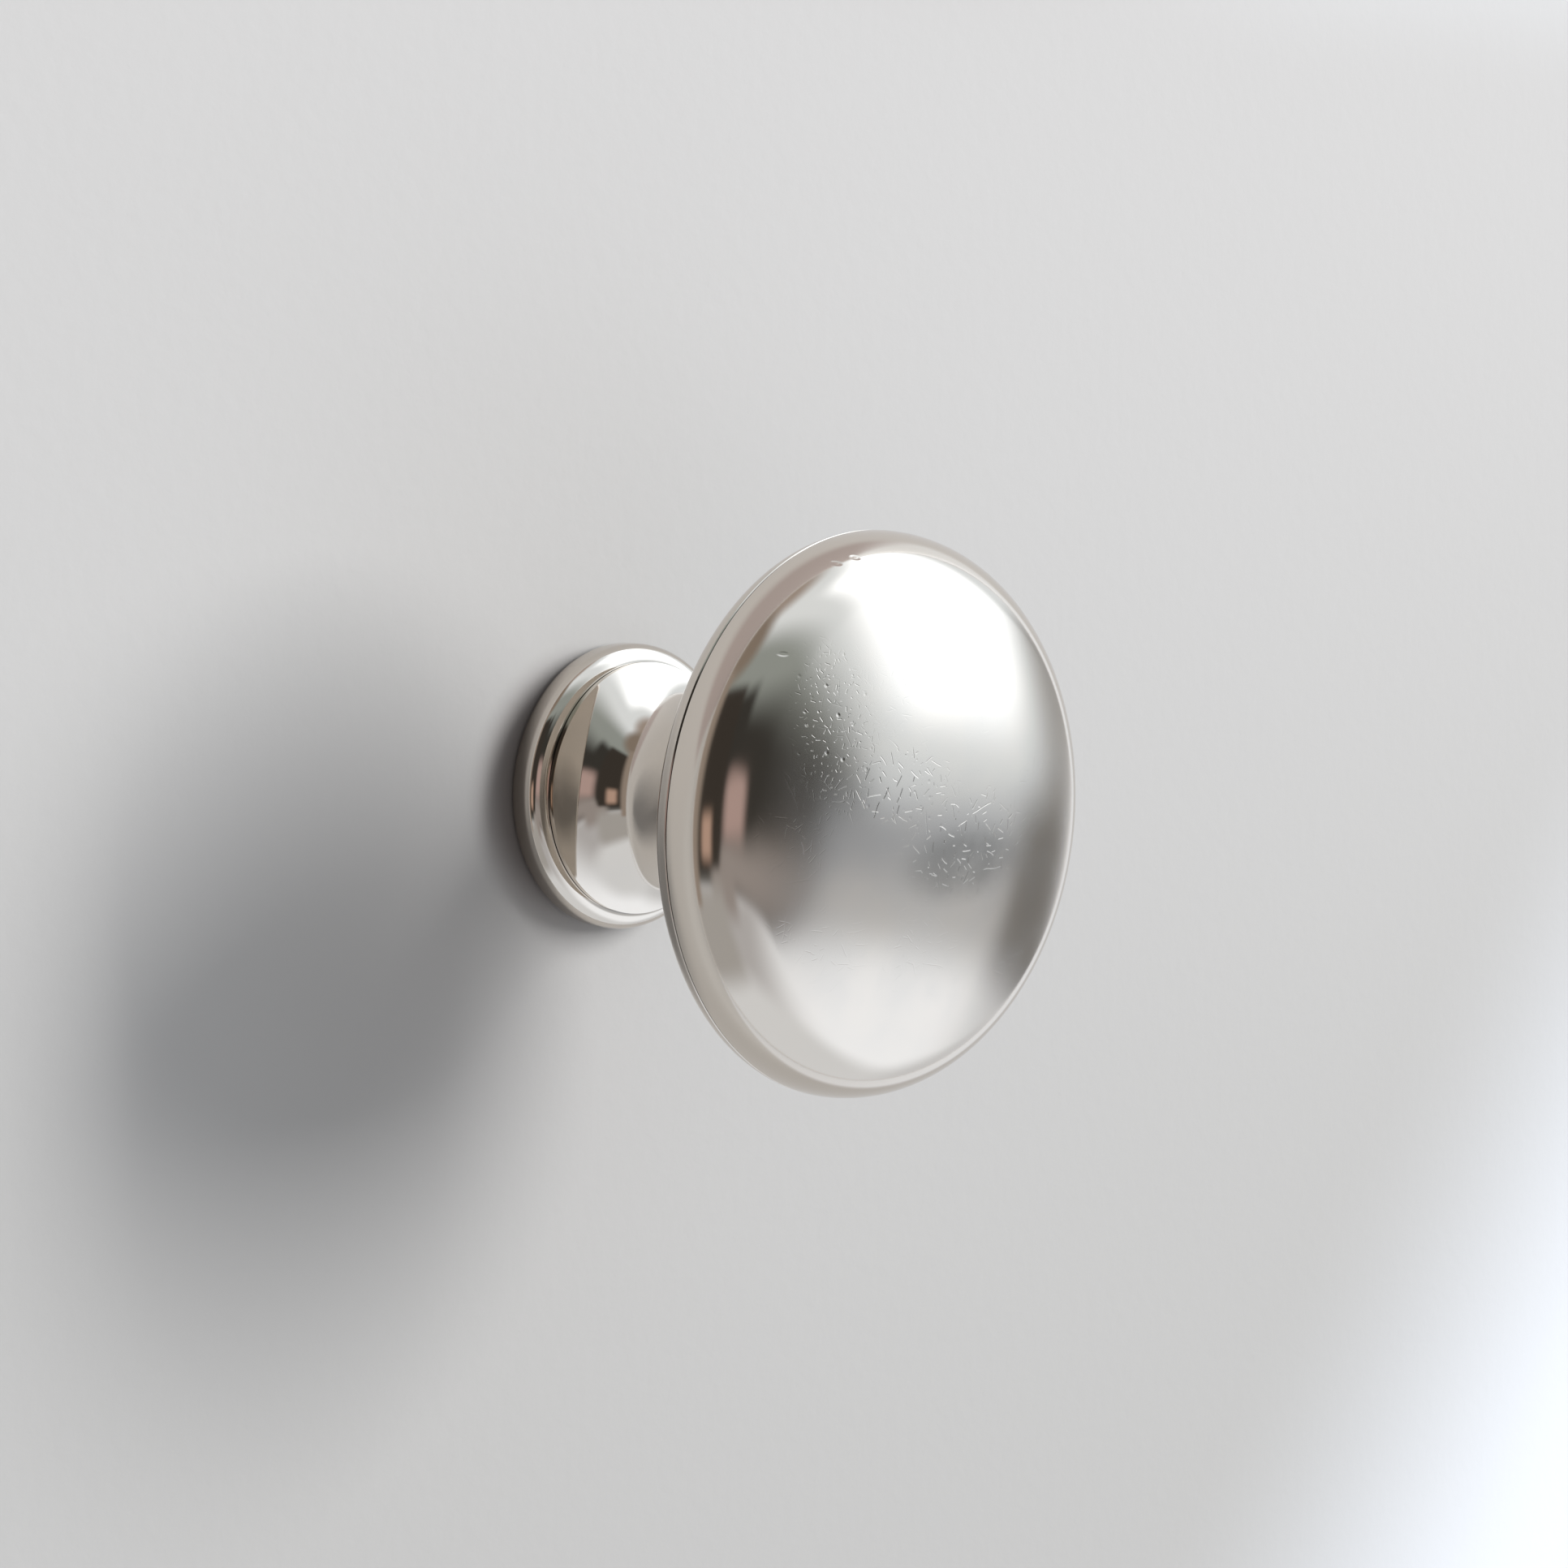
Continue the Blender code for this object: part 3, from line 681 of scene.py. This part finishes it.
# %% Turning helpers
ARC_STEP = 4.0
WELD = 0.0000015
SOFT_ANGLE = math.radians(32)
pen = {}


def start_profile(name, radius, height):
    """Puts down the first point of a profile, in edit mode."""
    bpy.ops.object.select_all(action="DESELECT")
    bpy.ops.mesh.primitive_plane_add(size=0.001)
    bpy.context.object.name = name
    bpy.context.object.data.name = name
    bpy.ops.object.mode_set(mode="EDIT")
    bpy.ops.mesh.select_mode(type="VERT")
    bpy.ops.mesh.select_all(action="SELECT")
    bpy.ops.mesh.merge(type="CENTER")
    bpy.ops.transform.translate(value=(radius, -height, 0))
    pen["radius"], pen["height"] = radius, height


def line_to(radius, height):
    """Extrudes the last point in a straight run."""
    step = (radius - pen["radius"], pen["height"] - height, 0)
    bpy.ops.mesh.extrude_vertices_move(TRANSFORM_OT_translate={"value": step})
    pen["radius"], pen["height"] = radius, height


def swing(radius, height, degrees, step=ARC_STEP):
    """Spins the last point about a centre. Positive turns from the axis outwards."""
    turn = math.radians(degrees)
    bpy.ops.mesh.spin(
        steps=max(2, math.ceil(abs(degrees) / step)),
        angle=turn,
        center=(radius, -height, 0),
        axis=(0, 0, -1),
    )
    out, up = pen["radius"] - radius, pen["height"] - height
    pen["radius"] = radius + out * math.cos(turn) + up * math.sin(turn)
    pen["height"] = height + up * math.cos(turn) - out * math.sin(turn)


def spin_up(segments, finish):
    """Spins the profile about the knob's axis, welds it, and shades it smooth but for its corners."""
    bpy.ops.mesh.select_all(action="SELECT")
    bpy.ops.mesh.spin(steps=segments, angle=math.tau, center=(0, 0, 0), axis=(0, 1, 0))
    bpy.ops.mesh.select_all(action="SELECT")
    bpy.ops.mesh.remove_doubles(threshold=WELD)
    bpy.ops.mesh.normals_make_consistent(inside=False)
    bpy.ops.object.mode_set(mode="OBJECT")
    bpy.ops.object.shade_smooth_by_angle(angle=SOFT_ANGLE)
    piece = bpy.context.object
    piece.data.materials.clear()
    piece.data.materials.append(finish)
    return piece


def stands_for(piece, node_name, body):
    """The piece replaces that solid of the measured model, and its size is set against it."""
    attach(piece, body)
    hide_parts(node_name)
    low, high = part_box(node_name)
    corners = [piece.matrix_world @ Vector(corner) for corner in piece.bound_box]
    drift = max(
        max(abs(min(c[i] for c in corners) - low[i]), abs(max(c[i] for c in corners) - high[i]))
        for i in range(3)
    )
    print(f"{piece.name}: {len(piece.data.polygons)} faces, {drift * 1000:.3f} mm from {node_name}")


# %% [markdown]
# ## Domed face
#
# The front of the head is a thin pressing: a wide crown that runs into a rolled edge without a break,
# open at the back. Both rounds are circles that touch where they meet. With the edge's centre
# known, the crown's centre follows from the two radii.

# %% Domed face
HEAD_RADIUS = 0.0160
RIM_HEIGHT = 0.0204
EDGE_RADIUS = 0.0045
CROWN_RADIUS = 0.0380
FACE_WALL = 0.0009
SEAM_HALF_GAP = 0.00003
SEAM_ROUND = 0.00005
CROWN_STEP = 0.5

edge_centre = HEAD_RADIUS - EDGE_RADIUS
crown_to_edge = CROWN_RADIUS - EDGE_RADIUS
crown_centre = RIM_HEIGHT - math.sqrt(crown_to_edge**2 - edge_centre**2)
meet = math.degrees(math.asin(edge_centre / crown_to_edge))
mouth = RIM_HEIGHT + SEAM_HALF_GAP


def seam_angle(radius):
    """How far from the widest circle, in degrees, a round edge gives way to the seam."""
    return math.degrees(math.asin((SEAM_HALF_GAP + SEAM_ROUND) / radius))


start_profile("domed_face", 0, crown_centre + CROWN_RADIUS)
swing(0, crown_centre, meet, CROWN_STEP)
swing(edge_centre, RIM_HEIGHT, 90 - seam_angle(EDGE_RADIUS) - meet, 2.0)
line_to(HEAD_RADIUS - SEAM_ROUND, mouth)
line_to(HEAD_RADIUS - FACE_WALL, mouth)
line_to(HEAD_RADIUS - FACE_WALL, RIM_HEIGHT + 2 * SEAM_HALF_GAP)
swing(edge_centre, RIM_HEIGHT, meet - 90, 6.0)
line_to((CROWN_RADIUS - FACE_WALL) * math.sin(math.radians(meet)), pen["height"])
swing(0, crown_centre, -math.degrees(math.atan2(pen["radius"], pen["height"] - crown_centre)), 2.0)
domed_face = spin_up(256, nickel_face)
stands_for(domed_face, "face_shell", "knob")

# %% [markdown]
# ## Back cup
#
# The back of the head is a dished cup with a small round at its edge. It meets the face on the widest
# circle, where a hairline seam shows. A lip inside it centres the face. Its bottom sits on the neck.

# %% Back cup
RIM_BACK_RADIUS = 0.0016
BACK_RISE = 0.0020
CUP_SEAT = RIM_HEIGHT - RIM_BACK_RADIUS - BACK_RISE
CUP_WALL = 0.0010
CUP_HOLE = 0.0037
CUP_SEAT_RADIUS = 0.0080
LIP_HEIGHT = 0.0010
LIP_WALL = 0.0008
LIP_GAP = 0.0001

lip = edge_centre + math.sqrt((EDGE_RADIUS - FACE_WALL) ** 2 - LIP_HEIGHT**2) - LIP_GAP
mouth = RIM_HEIGHT - SEAM_HALF_GAP
back_start = seam_angle(RIM_BACK_RADIUS)
start_profile("back_cup_turned", lip - LIP_WALL, RIM_HEIGHT + LIP_HEIGHT)
line_to(lip, RIM_HEIGHT + LIP_HEIGHT)
line_to(lip, mouth)
line_to(HEAD_RADIUS - SEAM_ROUND, mouth)
line_to(
    HEAD_RADIUS - RIM_BACK_RADIUS * (1 - math.cos(math.radians(back_start))),
    RIM_HEIGHT - RIM_BACK_RADIUS * math.sin(math.radians(back_start)),
)
swing(HEAD_RADIUS - RIM_BACK_RADIUS, RIM_HEIGHT, 90 - back_start)
line_to(CUP_SEAT_RADIUS, CUP_SEAT)
line_to(CUP_HOLE, CUP_SEAT)
line_to(CUP_HOLE, CUP_SEAT + CUP_WALL)
line_to(CUP_SEAT_RADIUS, CUP_SEAT + CUP_WALL)
line_to(lip - LIP_WALL, CUP_SEAT + BACK_RISE + CUP_WALL)
line_to(lip - LIP_WALL, RIM_HEIGHT + LIP_HEIGHT)
back_cup = spin_up(256, nickel_body)
stands_for(back_cup, "back_cup", "knob")

# %% [markdown]
# ## Neck
#
# The neck is turned from bar. It starts on the foot plate with a fine square edge, sweeps in through a
# cove to a slim waist, and sweeps out again under the head. The cove meets the foot at a slant, which
# shows in what it mirrors. Above its shoulder a tenon goes through the cup and is riveted over a
# washer. A blind bore in its foot takes the bush.

# %% Neck
FOOT_HEIGHT = 0.00235
FOOT_RADIUS = 0.0075
FOOT_EDGE = 0.0003
FOOT_TILT = 20.0
WAIST_RADIUS = 0.0040
TOP_RADIUS = 0.0070
TOP_EDGE = 0.0004
SEAT_GAP = 0.00005
SPIGOT_RADIUS = 0.0055
SPIGOT_DEPTH = 0.0010
TENON_RADIUS = 0.0036
PEEN_RADIUS = 0.0047
PEEN_BASE = 0.0191
PEEN_HEIGHT = 0.0011
PEEN_ROUND = 0.0006
BORE_RADIUS = 0.00305
BORE_TOP = 0.0119

shoulder = CUP_SEAT - SEAT_GAP
foot_cove = (FOOT_RADIUS - WAIST_RADIUS) / (1 - math.sin(math.radians(FOOT_TILT)))
waist_end = FOOT_HEIGHT + FOOT_EDGE + foot_cove * math.cos(math.radians(FOOT_TILT))
start_profile("coved_neck", 0, PEEN_BASE + PEEN_HEIGHT)
line_to(PEEN_RADIUS - PEEN_ROUND, PEEN_BASE + PEEN_HEIGHT)
swing(PEEN_RADIUS - PEEN_ROUND, PEEN_BASE + PEEN_HEIGHT - PEEN_ROUND, 90, 10.0)
line_to(PEEN_RADIUS, PEEN_BASE)
line_to(TENON_RADIUS, PEEN_BASE)
line_to(TENON_RADIUS, shoulder)
line_to(TOP_RADIUS, shoulder)
line_to(TOP_RADIUS, shoulder - TOP_EDGE)
swing(TOP_RADIUS, shoulder - TOP_EDGE - (TOP_RADIUS - WAIST_RADIUS), -90, 2.0)
line_to(WAIST_RADIUS, waist_end)
swing(WAIST_RADIUS + foot_cove, waist_end, FOOT_TILT - 90, 2.0)
line_to(FOOT_RADIUS, FOOT_HEIGHT)
line_to(SPIGOT_RADIUS, FOOT_HEIGHT)
line_to(SPIGOT_RADIUS, FOOT_HEIGHT - SPIGOT_DEPTH)
line_to(BORE_RADIUS, FOOT_HEIGHT - SPIGOT_DEPTH)
line_to(BORE_RADIUS, BORE_TOP)
line_to(0, BORE_TOP)
coved_neck = spin_up(192, nickel_body)
stands_for(coved_neck, "neck", "knob")

# %% [markdown]
# ## Foot plate
#
# The foot is a small separate plate with a full round on its upper edge and a slight one at the door. The
# neck's spigot sits in its counterbore, and its back is relieved so that only a ring bears on the door.

# %% Foot plate
PLATE_RADIUS = 0.00855
PLATE_HEIGHT = 0.0023
PLATE_ROUND = 0.00105
PLATE_BASE_ROUND = 0.0006
COUNTERBORE_RADIUS = 0.0056
COUNTERBORE_FLOOR = 0.0013
RELIEF_RADIUS = 0.0065
RELIEF_DEPTH = 0.0003
SCREW_HOLE_RADIUS = 0.00225

start_profile("foot_plate", COUNTERBORE_RADIUS, PLATE_HEIGHT)
line_to(PLATE_RADIUS - PLATE_ROUND, PLATE_HEIGHT)
swing(PLATE_RADIUS - PLATE_ROUND, PLATE_HEIGHT - PLATE_ROUND, 90, 3.0)
line_to(PLATE_RADIUS, PLATE_BASE_ROUND)
swing(PLATE_RADIUS - PLATE_BASE_ROUND, PLATE_BASE_ROUND, 90, 9.0)
line_to(RELIEF_RADIUS, 0)
line_to(RELIEF_RADIUS, RELIEF_DEPTH)
line_to(SCREW_HOLE_RADIUS, RELIEF_DEPTH)
line_to(SCREW_HOLE_RADIUS, COUNTERBORE_FLOOR)
line_to(COUNTERBORE_RADIUS, COUNTERBORE_FLOOR)
line_to(COUNTERBORE_RADIUS, PLATE_HEIGHT)
foot_plate = spin_up(192, nickel_body)
stands_for(foot_plate, "base_rose", "knob")

# %% [markdown]
# ## Inner pieces
#
# The washer inside the head and the bush in the neck are the right shape already, and hardly show. They
# keep their solids and only take their finish.

# %% Inner pieces
for node_name, finish in (("rivet_washer", zinc_plate), ("threaded_bush", brass)):
    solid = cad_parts[node_name]
    solid.data.materials.clear()
    solid.data.materials.append(finish)
    print(node_name, "takes", finish.name)

# %% [markdown]
# ## Machine screw
#
# A rolled thread is a ridge that climbs one pitch in each turn. One pitch of its outline is drawn next to
# the axis, and the Screw modifier sweeps it: where one turn ends the next begins, so the turns weld into one
# skin. It turns backwards about +Y, because the screw's tip points along -Y and its thread is
# right-handed. Two bisecting cuts close its ends, and a turned envelope trims the tip to its
# chamfer.

# %% Screw thread
SCREW_TIP = 0.0102
TIP_CHAMFER = 0.0005
SHANK_RADIUS = 0.0020
THREAD_PITCH = 0.0007
THREAD_ROOT = 0.00157
THREAD_CREST = 0.0000875
THREAD_FLOOR = 0.000175
THREAD_STEPS = 48
SCREW_SEAT = -0.0198
THREAD_START = SCREW_SEAT - THREAD_PITCH - THREAD_CREST
THREAD_END = SCREW_SEAT + 0.0002


def make_active(piece):
    bpy.ops.object.select_all(action="DESELECT")
    piece.select_set(True)
    bpy.context.view_layer.objects.active = piece


def combine(piece, tool, operation):
    """Applies a Boolean between two pieces and removes the second."""
    make_active(piece)
    modifier = piece.modifiers.new(operation.lower(), "BOOLEAN")
    modifier.operation = operation
    modifier.solver = "EXACT"
    modifier.object = tool
    bpy.ops.object.modifier_apply(modifier=modifier.name)
    bpy.data.objects.remove(tool)


def clean_up(piece):
    """Welds a cut piece, turns its faces outwards, and shades it again."""
    make_active(piece)
    bpy.ops.object.mode_set(mode="EDIT")
    bpy.ops.mesh.select_all(action="SELECT")
    bpy.ops.mesh.remove_doubles(threshold=WELD)
    bpy.ops.mesh.normals_make_consistent(inside=False)
    bpy.ops.object.mode_set(mode="OBJECT")
    bpy.ops.object.shade_smooth_by_angle(angle=SOFT_ANGLE)


flank = (THREAD_PITCH - THREAD_CREST - THREAD_FLOOR) / 2
turns = math.ceil((SCREW_TIP - THREAD_END) / THREAD_PITCH) + 2
start_profile("machine_screw", THREAD_ROOT, THREAD_START)
line_to(THREAD_ROOT, pen["height"] + THREAD_FLOOR)
line_to(SHANK_RADIUS, pen["height"] + flank)
line_to(SHANK_RADIUS, pen["height"] + THREAD_CREST)
line_to(THREAD_ROOT, pen["height"] + flank)
bpy.ops.object.mode_set(mode="OBJECT")
machine_screw = bpy.context.object
sweep = machine_screw.modifiers.new("thread", "SCREW")
sweep.axis = "Y"
sweep.angle = -math.tau
sweep.screw_offset = -THREAD_PITCH
sweep.iterations = turns
sweep.steps = THREAD_STEPS
sweep.render_steps = THREAD_STEPS
sweep.use_merge_vertices = True
sweep.merge_threshold = WELD
bpy.ops.object.modifier_apply(modifier=sweep.name)
bpy.ops.object.mode_set(mode="EDIT")
for height, outwards in ((SCREW_TIP, -1), (THREAD_END, 1)):
    bpy.ops.mesh.select_all(action="SELECT")
    bpy.ops.mesh.remove_doubles(threshold=WELD)
    bpy.ops.mesh.bisect(
        plane_co=(0, -height, 0), plane_no=(0, outwards, 0), use_fill=True, clear_outer=True
    )
bpy.ops.object.mode_set(mode="OBJECT")
clean_up(machine_screw)
print(turns, "turns,", len(machine_screw.data.polygons), "faces")

# %% [markdown]
# ## Screw head
#
# The pan head is turned with a stub that reaches into the thread, joined to it, and then punched with a cross
# recess. The punch is two tapered wings and a cone in their middle, as a cross driver's tip is.

# %% Screw head
PAN_RADIUS = 0.0040
PAN_END = -0.0229
PAN_SIDE = 0.0006
PAN_FLAT = 0.0024
WING_LENGTH = 0.0042
WING_WIDTH = 0.0011
RECESS_DEPTH = 0.0020
WING_TAPER = 0.45
PIT_RADIUS = 0.0012
OVERSHOOT = 0.0003

start_profile("tip_envelope", 0, SCREW_TIP + OVERSHOOT)
line_to(SHANK_RADIUS - TIP_CHAMFER - OVERSHOOT, SCREW_TIP + OVERSHOOT)
line_to(SHANK_RADIUS + OVERSHOOT, SCREW_TIP - TIP_CHAMFER - OVERSHOOT)
line_to(SHANK_RADIUS + OVERSHOOT, THREAD_END - OVERSHOOT)
line_to(0, THREAD_END - OVERSHOOT)
combine(machine_screw, spin_up(64, zinc_plate), "INTERSECT")

start_profile("pan_head", 0, SCREW_SEAT + 2 * THREAD_PITCH)
line_to(THREAD_ROOT - OVERSHOOT, SCREW_SEAT + 2 * THREAD_PITCH)
line_to(SHANK_RADIUS - 0.5 * OVERSHOOT, SCREW_SEAT)
line_to(PAN_RADIUS, SCREW_SEAT)
line_to(PAN_RADIUS, SCREW_SEAT - PAN_SIDE)
for step in range(1, 13):
    turn = math.radians(90 * step / 12)
    line_to(
        PAN_FLAT + (PAN_RADIUS - PAN_FLAT) * math.cos(turn),
        SCREW_SEAT - PAN_SIDE + (PAN_END + PAN_SIDE - SCREW_SEAT) * math.sin(turn),
    )
line_to(0, PAN_END)
combine(machine_screw, spin_up(96, zinc_plate), "UNION")


def recess_wing(length, width):
    """A tapered block, from just behind the head down to the bottom of the recess."""
    bpy.ops.object.select_all(action="DESELECT")
    bpy.ops.mesh.primitive_cube_add(size=1.0)
    wing = bpy.context.object
    wing.data.materials.append(zinc_plate)
    depth = RECESS_DEPTH + OVERSHOOT
    bpy.ops.object.mode_set(mode="EDIT")
    bpy.ops.mesh.select_all(action="SELECT")
    bpy.ops.transform.resize(value=(length, depth, width))
    bpy.ops.transform.translate(value=(0, -PAN_END + OVERSHOOT - depth / 2, 0))
    bpy.ops.mesh.select_all(action="DESELECT")
    bpy.ops.object.mode_set(mode="OBJECT")
    bottom = min(vertex.co.y for vertex in wing.data.vertices)
    for vertex in wing.data.vertices:
        vertex.select = vertex.co.y < bottom + OVERSHOOT
    bpy.ops.object.mode_set(mode="EDIT")
    narrow = (WING_TAPER, 1, 0.8) if length > width else (0.8, 1, WING_TAPER)
    bpy.ops.transform.resize(value=narrow, center_override=(0, bottom, 0))
    bpy.ops.object.mode_set(mode="OBJECT")
    return wing


combine(machine_screw, recess_wing(WING_LENGTH, WING_WIDTH), "DIFFERENCE")
combine(machine_screw, recess_wing(WING_WIDTH, WING_LENGTH), "DIFFERENCE")
start_profile("recess_pit", 0, PAN_END - OVERSHOOT)
line_to(PIT_RADIUS, PAN_END - OVERSHOOT)
line_to(PIT_RADIUS * WING_TAPER, PAN_END + RECESS_DEPTH)
line_to(0, PAN_END + RECESS_DEPTH + OVERSHOOT)
combine(machine_screw, spin_up(48, zinc_plate), "DIFFERENCE")
machine_screw.data.materials.clear()
machine_screw.data.materials.append(zinc_plate)
clean_up(machine_screw)
stands_for(machine_screw, "fixing_screw", "screw")

# %% [markdown]
# ## Washers
#
# A flat washer is punched from sheet, so one face has rounded edges and the other is sharp. A spring
# washer is wound from square wire and cut off at a slant. It is turned as a ring, and a thin slanting
# block cuts its split.

# %% Washers
PLAIN_HOLE = 0.00215
PLAIN_RADIUS = 0.0045
PLAIN_FRONT = -0.0180
PLAIN_BACK = -0.0188
PUNCH_ROUND = 0.00015
SPRING_RADIUS = 0.0038
SPRING_FRONT = -0.01885
SPRING_BACK = -0.01975
SPRING_ROUND = 0.00012
SPLIT_GAP = 0.0005
SPLIT_SLANT = 25.0

start_profile("plain_washer", PLAIN_HOLE, PLAIN_FRONT)
line_to(PLAIN_RADIUS, PLAIN_FRONT)
line_to(PLAIN_RADIUS, PLAIN_BACK + PUNCH_ROUND)
swing(PLAIN_RADIUS - PUNCH_ROUND, PLAIN_BACK + PUNCH_ROUND, 90, 18.0)
line_to(PLAIN_HOLE + PUNCH_ROUND, PLAIN_BACK)
swing(PLAIN_HOLE + PUNCH_ROUND, PLAIN_BACK + PUNCH_ROUND, 90, 18.0)
line_to(PLAIN_HOLE, PLAIN_FRONT)
plain_washer = spin_up(128, zinc_plate)
stands_for(plain_washer, "flat_washer", "washers")

start_profile("split_washer", PLAIN_HOLE + SPRING_ROUND, SPRING_FRONT)
line_to(SPRING_RADIUS - SPRING_ROUND, SPRING_FRONT)
swing(SPRING_RADIUS - SPRING_ROUND, SPRING_FRONT - SPRING_ROUND, 90, 18.0)
line_to(SPRING_RADIUS, SPRING_BACK + SPRING_ROUND)
swing(SPRING_RADIUS - SPRING_ROUND, SPRING_BACK + SPRING_ROUND, 90, 18.0)
line_to(PLAIN_HOLE + SPRING_ROUND, SPRING_BACK)
swing(PLAIN_HOLE + SPRING_ROUND, SPRING_BACK + SPRING_ROUND, 90, 18.0)
line_to(PLAIN_HOLE, SPRING_FRONT - SPRING_ROUND)
swing(PLAIN_HOLE + SPRING_ROUND, SPRING_FRONT - SPRING_ROUND, 90, 18.0)
split_washer = spin_up(128, zinc_plate)

bpy.ops.object.select_all(action="DESELECT")
bpy.ops.mesh.primitive_cube_add(size=1.0)
splitter = bpy.context.object
splitter.data.materials.append(zinc_plate)
bpy.ops.object.mode_set(mode="EDIT")
bpy.ops.mesh.select_all(action="SELECT")
bpy.ops.transform.resize(value=(SPRING_RADIUS, 4 * (SPRING_FRONT - SPRING_BACK), SPLIT_GAP))
bpy.ops.transform.rotate(
    value=math.radians(SPLIT_SLANT), orient_axis="X", center_override=(0, 0, 0)
)
bpy.ops.transform.translate(
    value=((PLAIN_HOLE + SPRING_RADIUS) / 2, -(SPRING_FRONT + SPRING_BACK) / 2, 0)
)
bpy.ops.object.mode_set(mode="OBJECT")
combine(split_washer, splitter, "DIFFERENCE")
clean_up(split_washer)
stands_for(split_washer, "spring_washer", "washers")
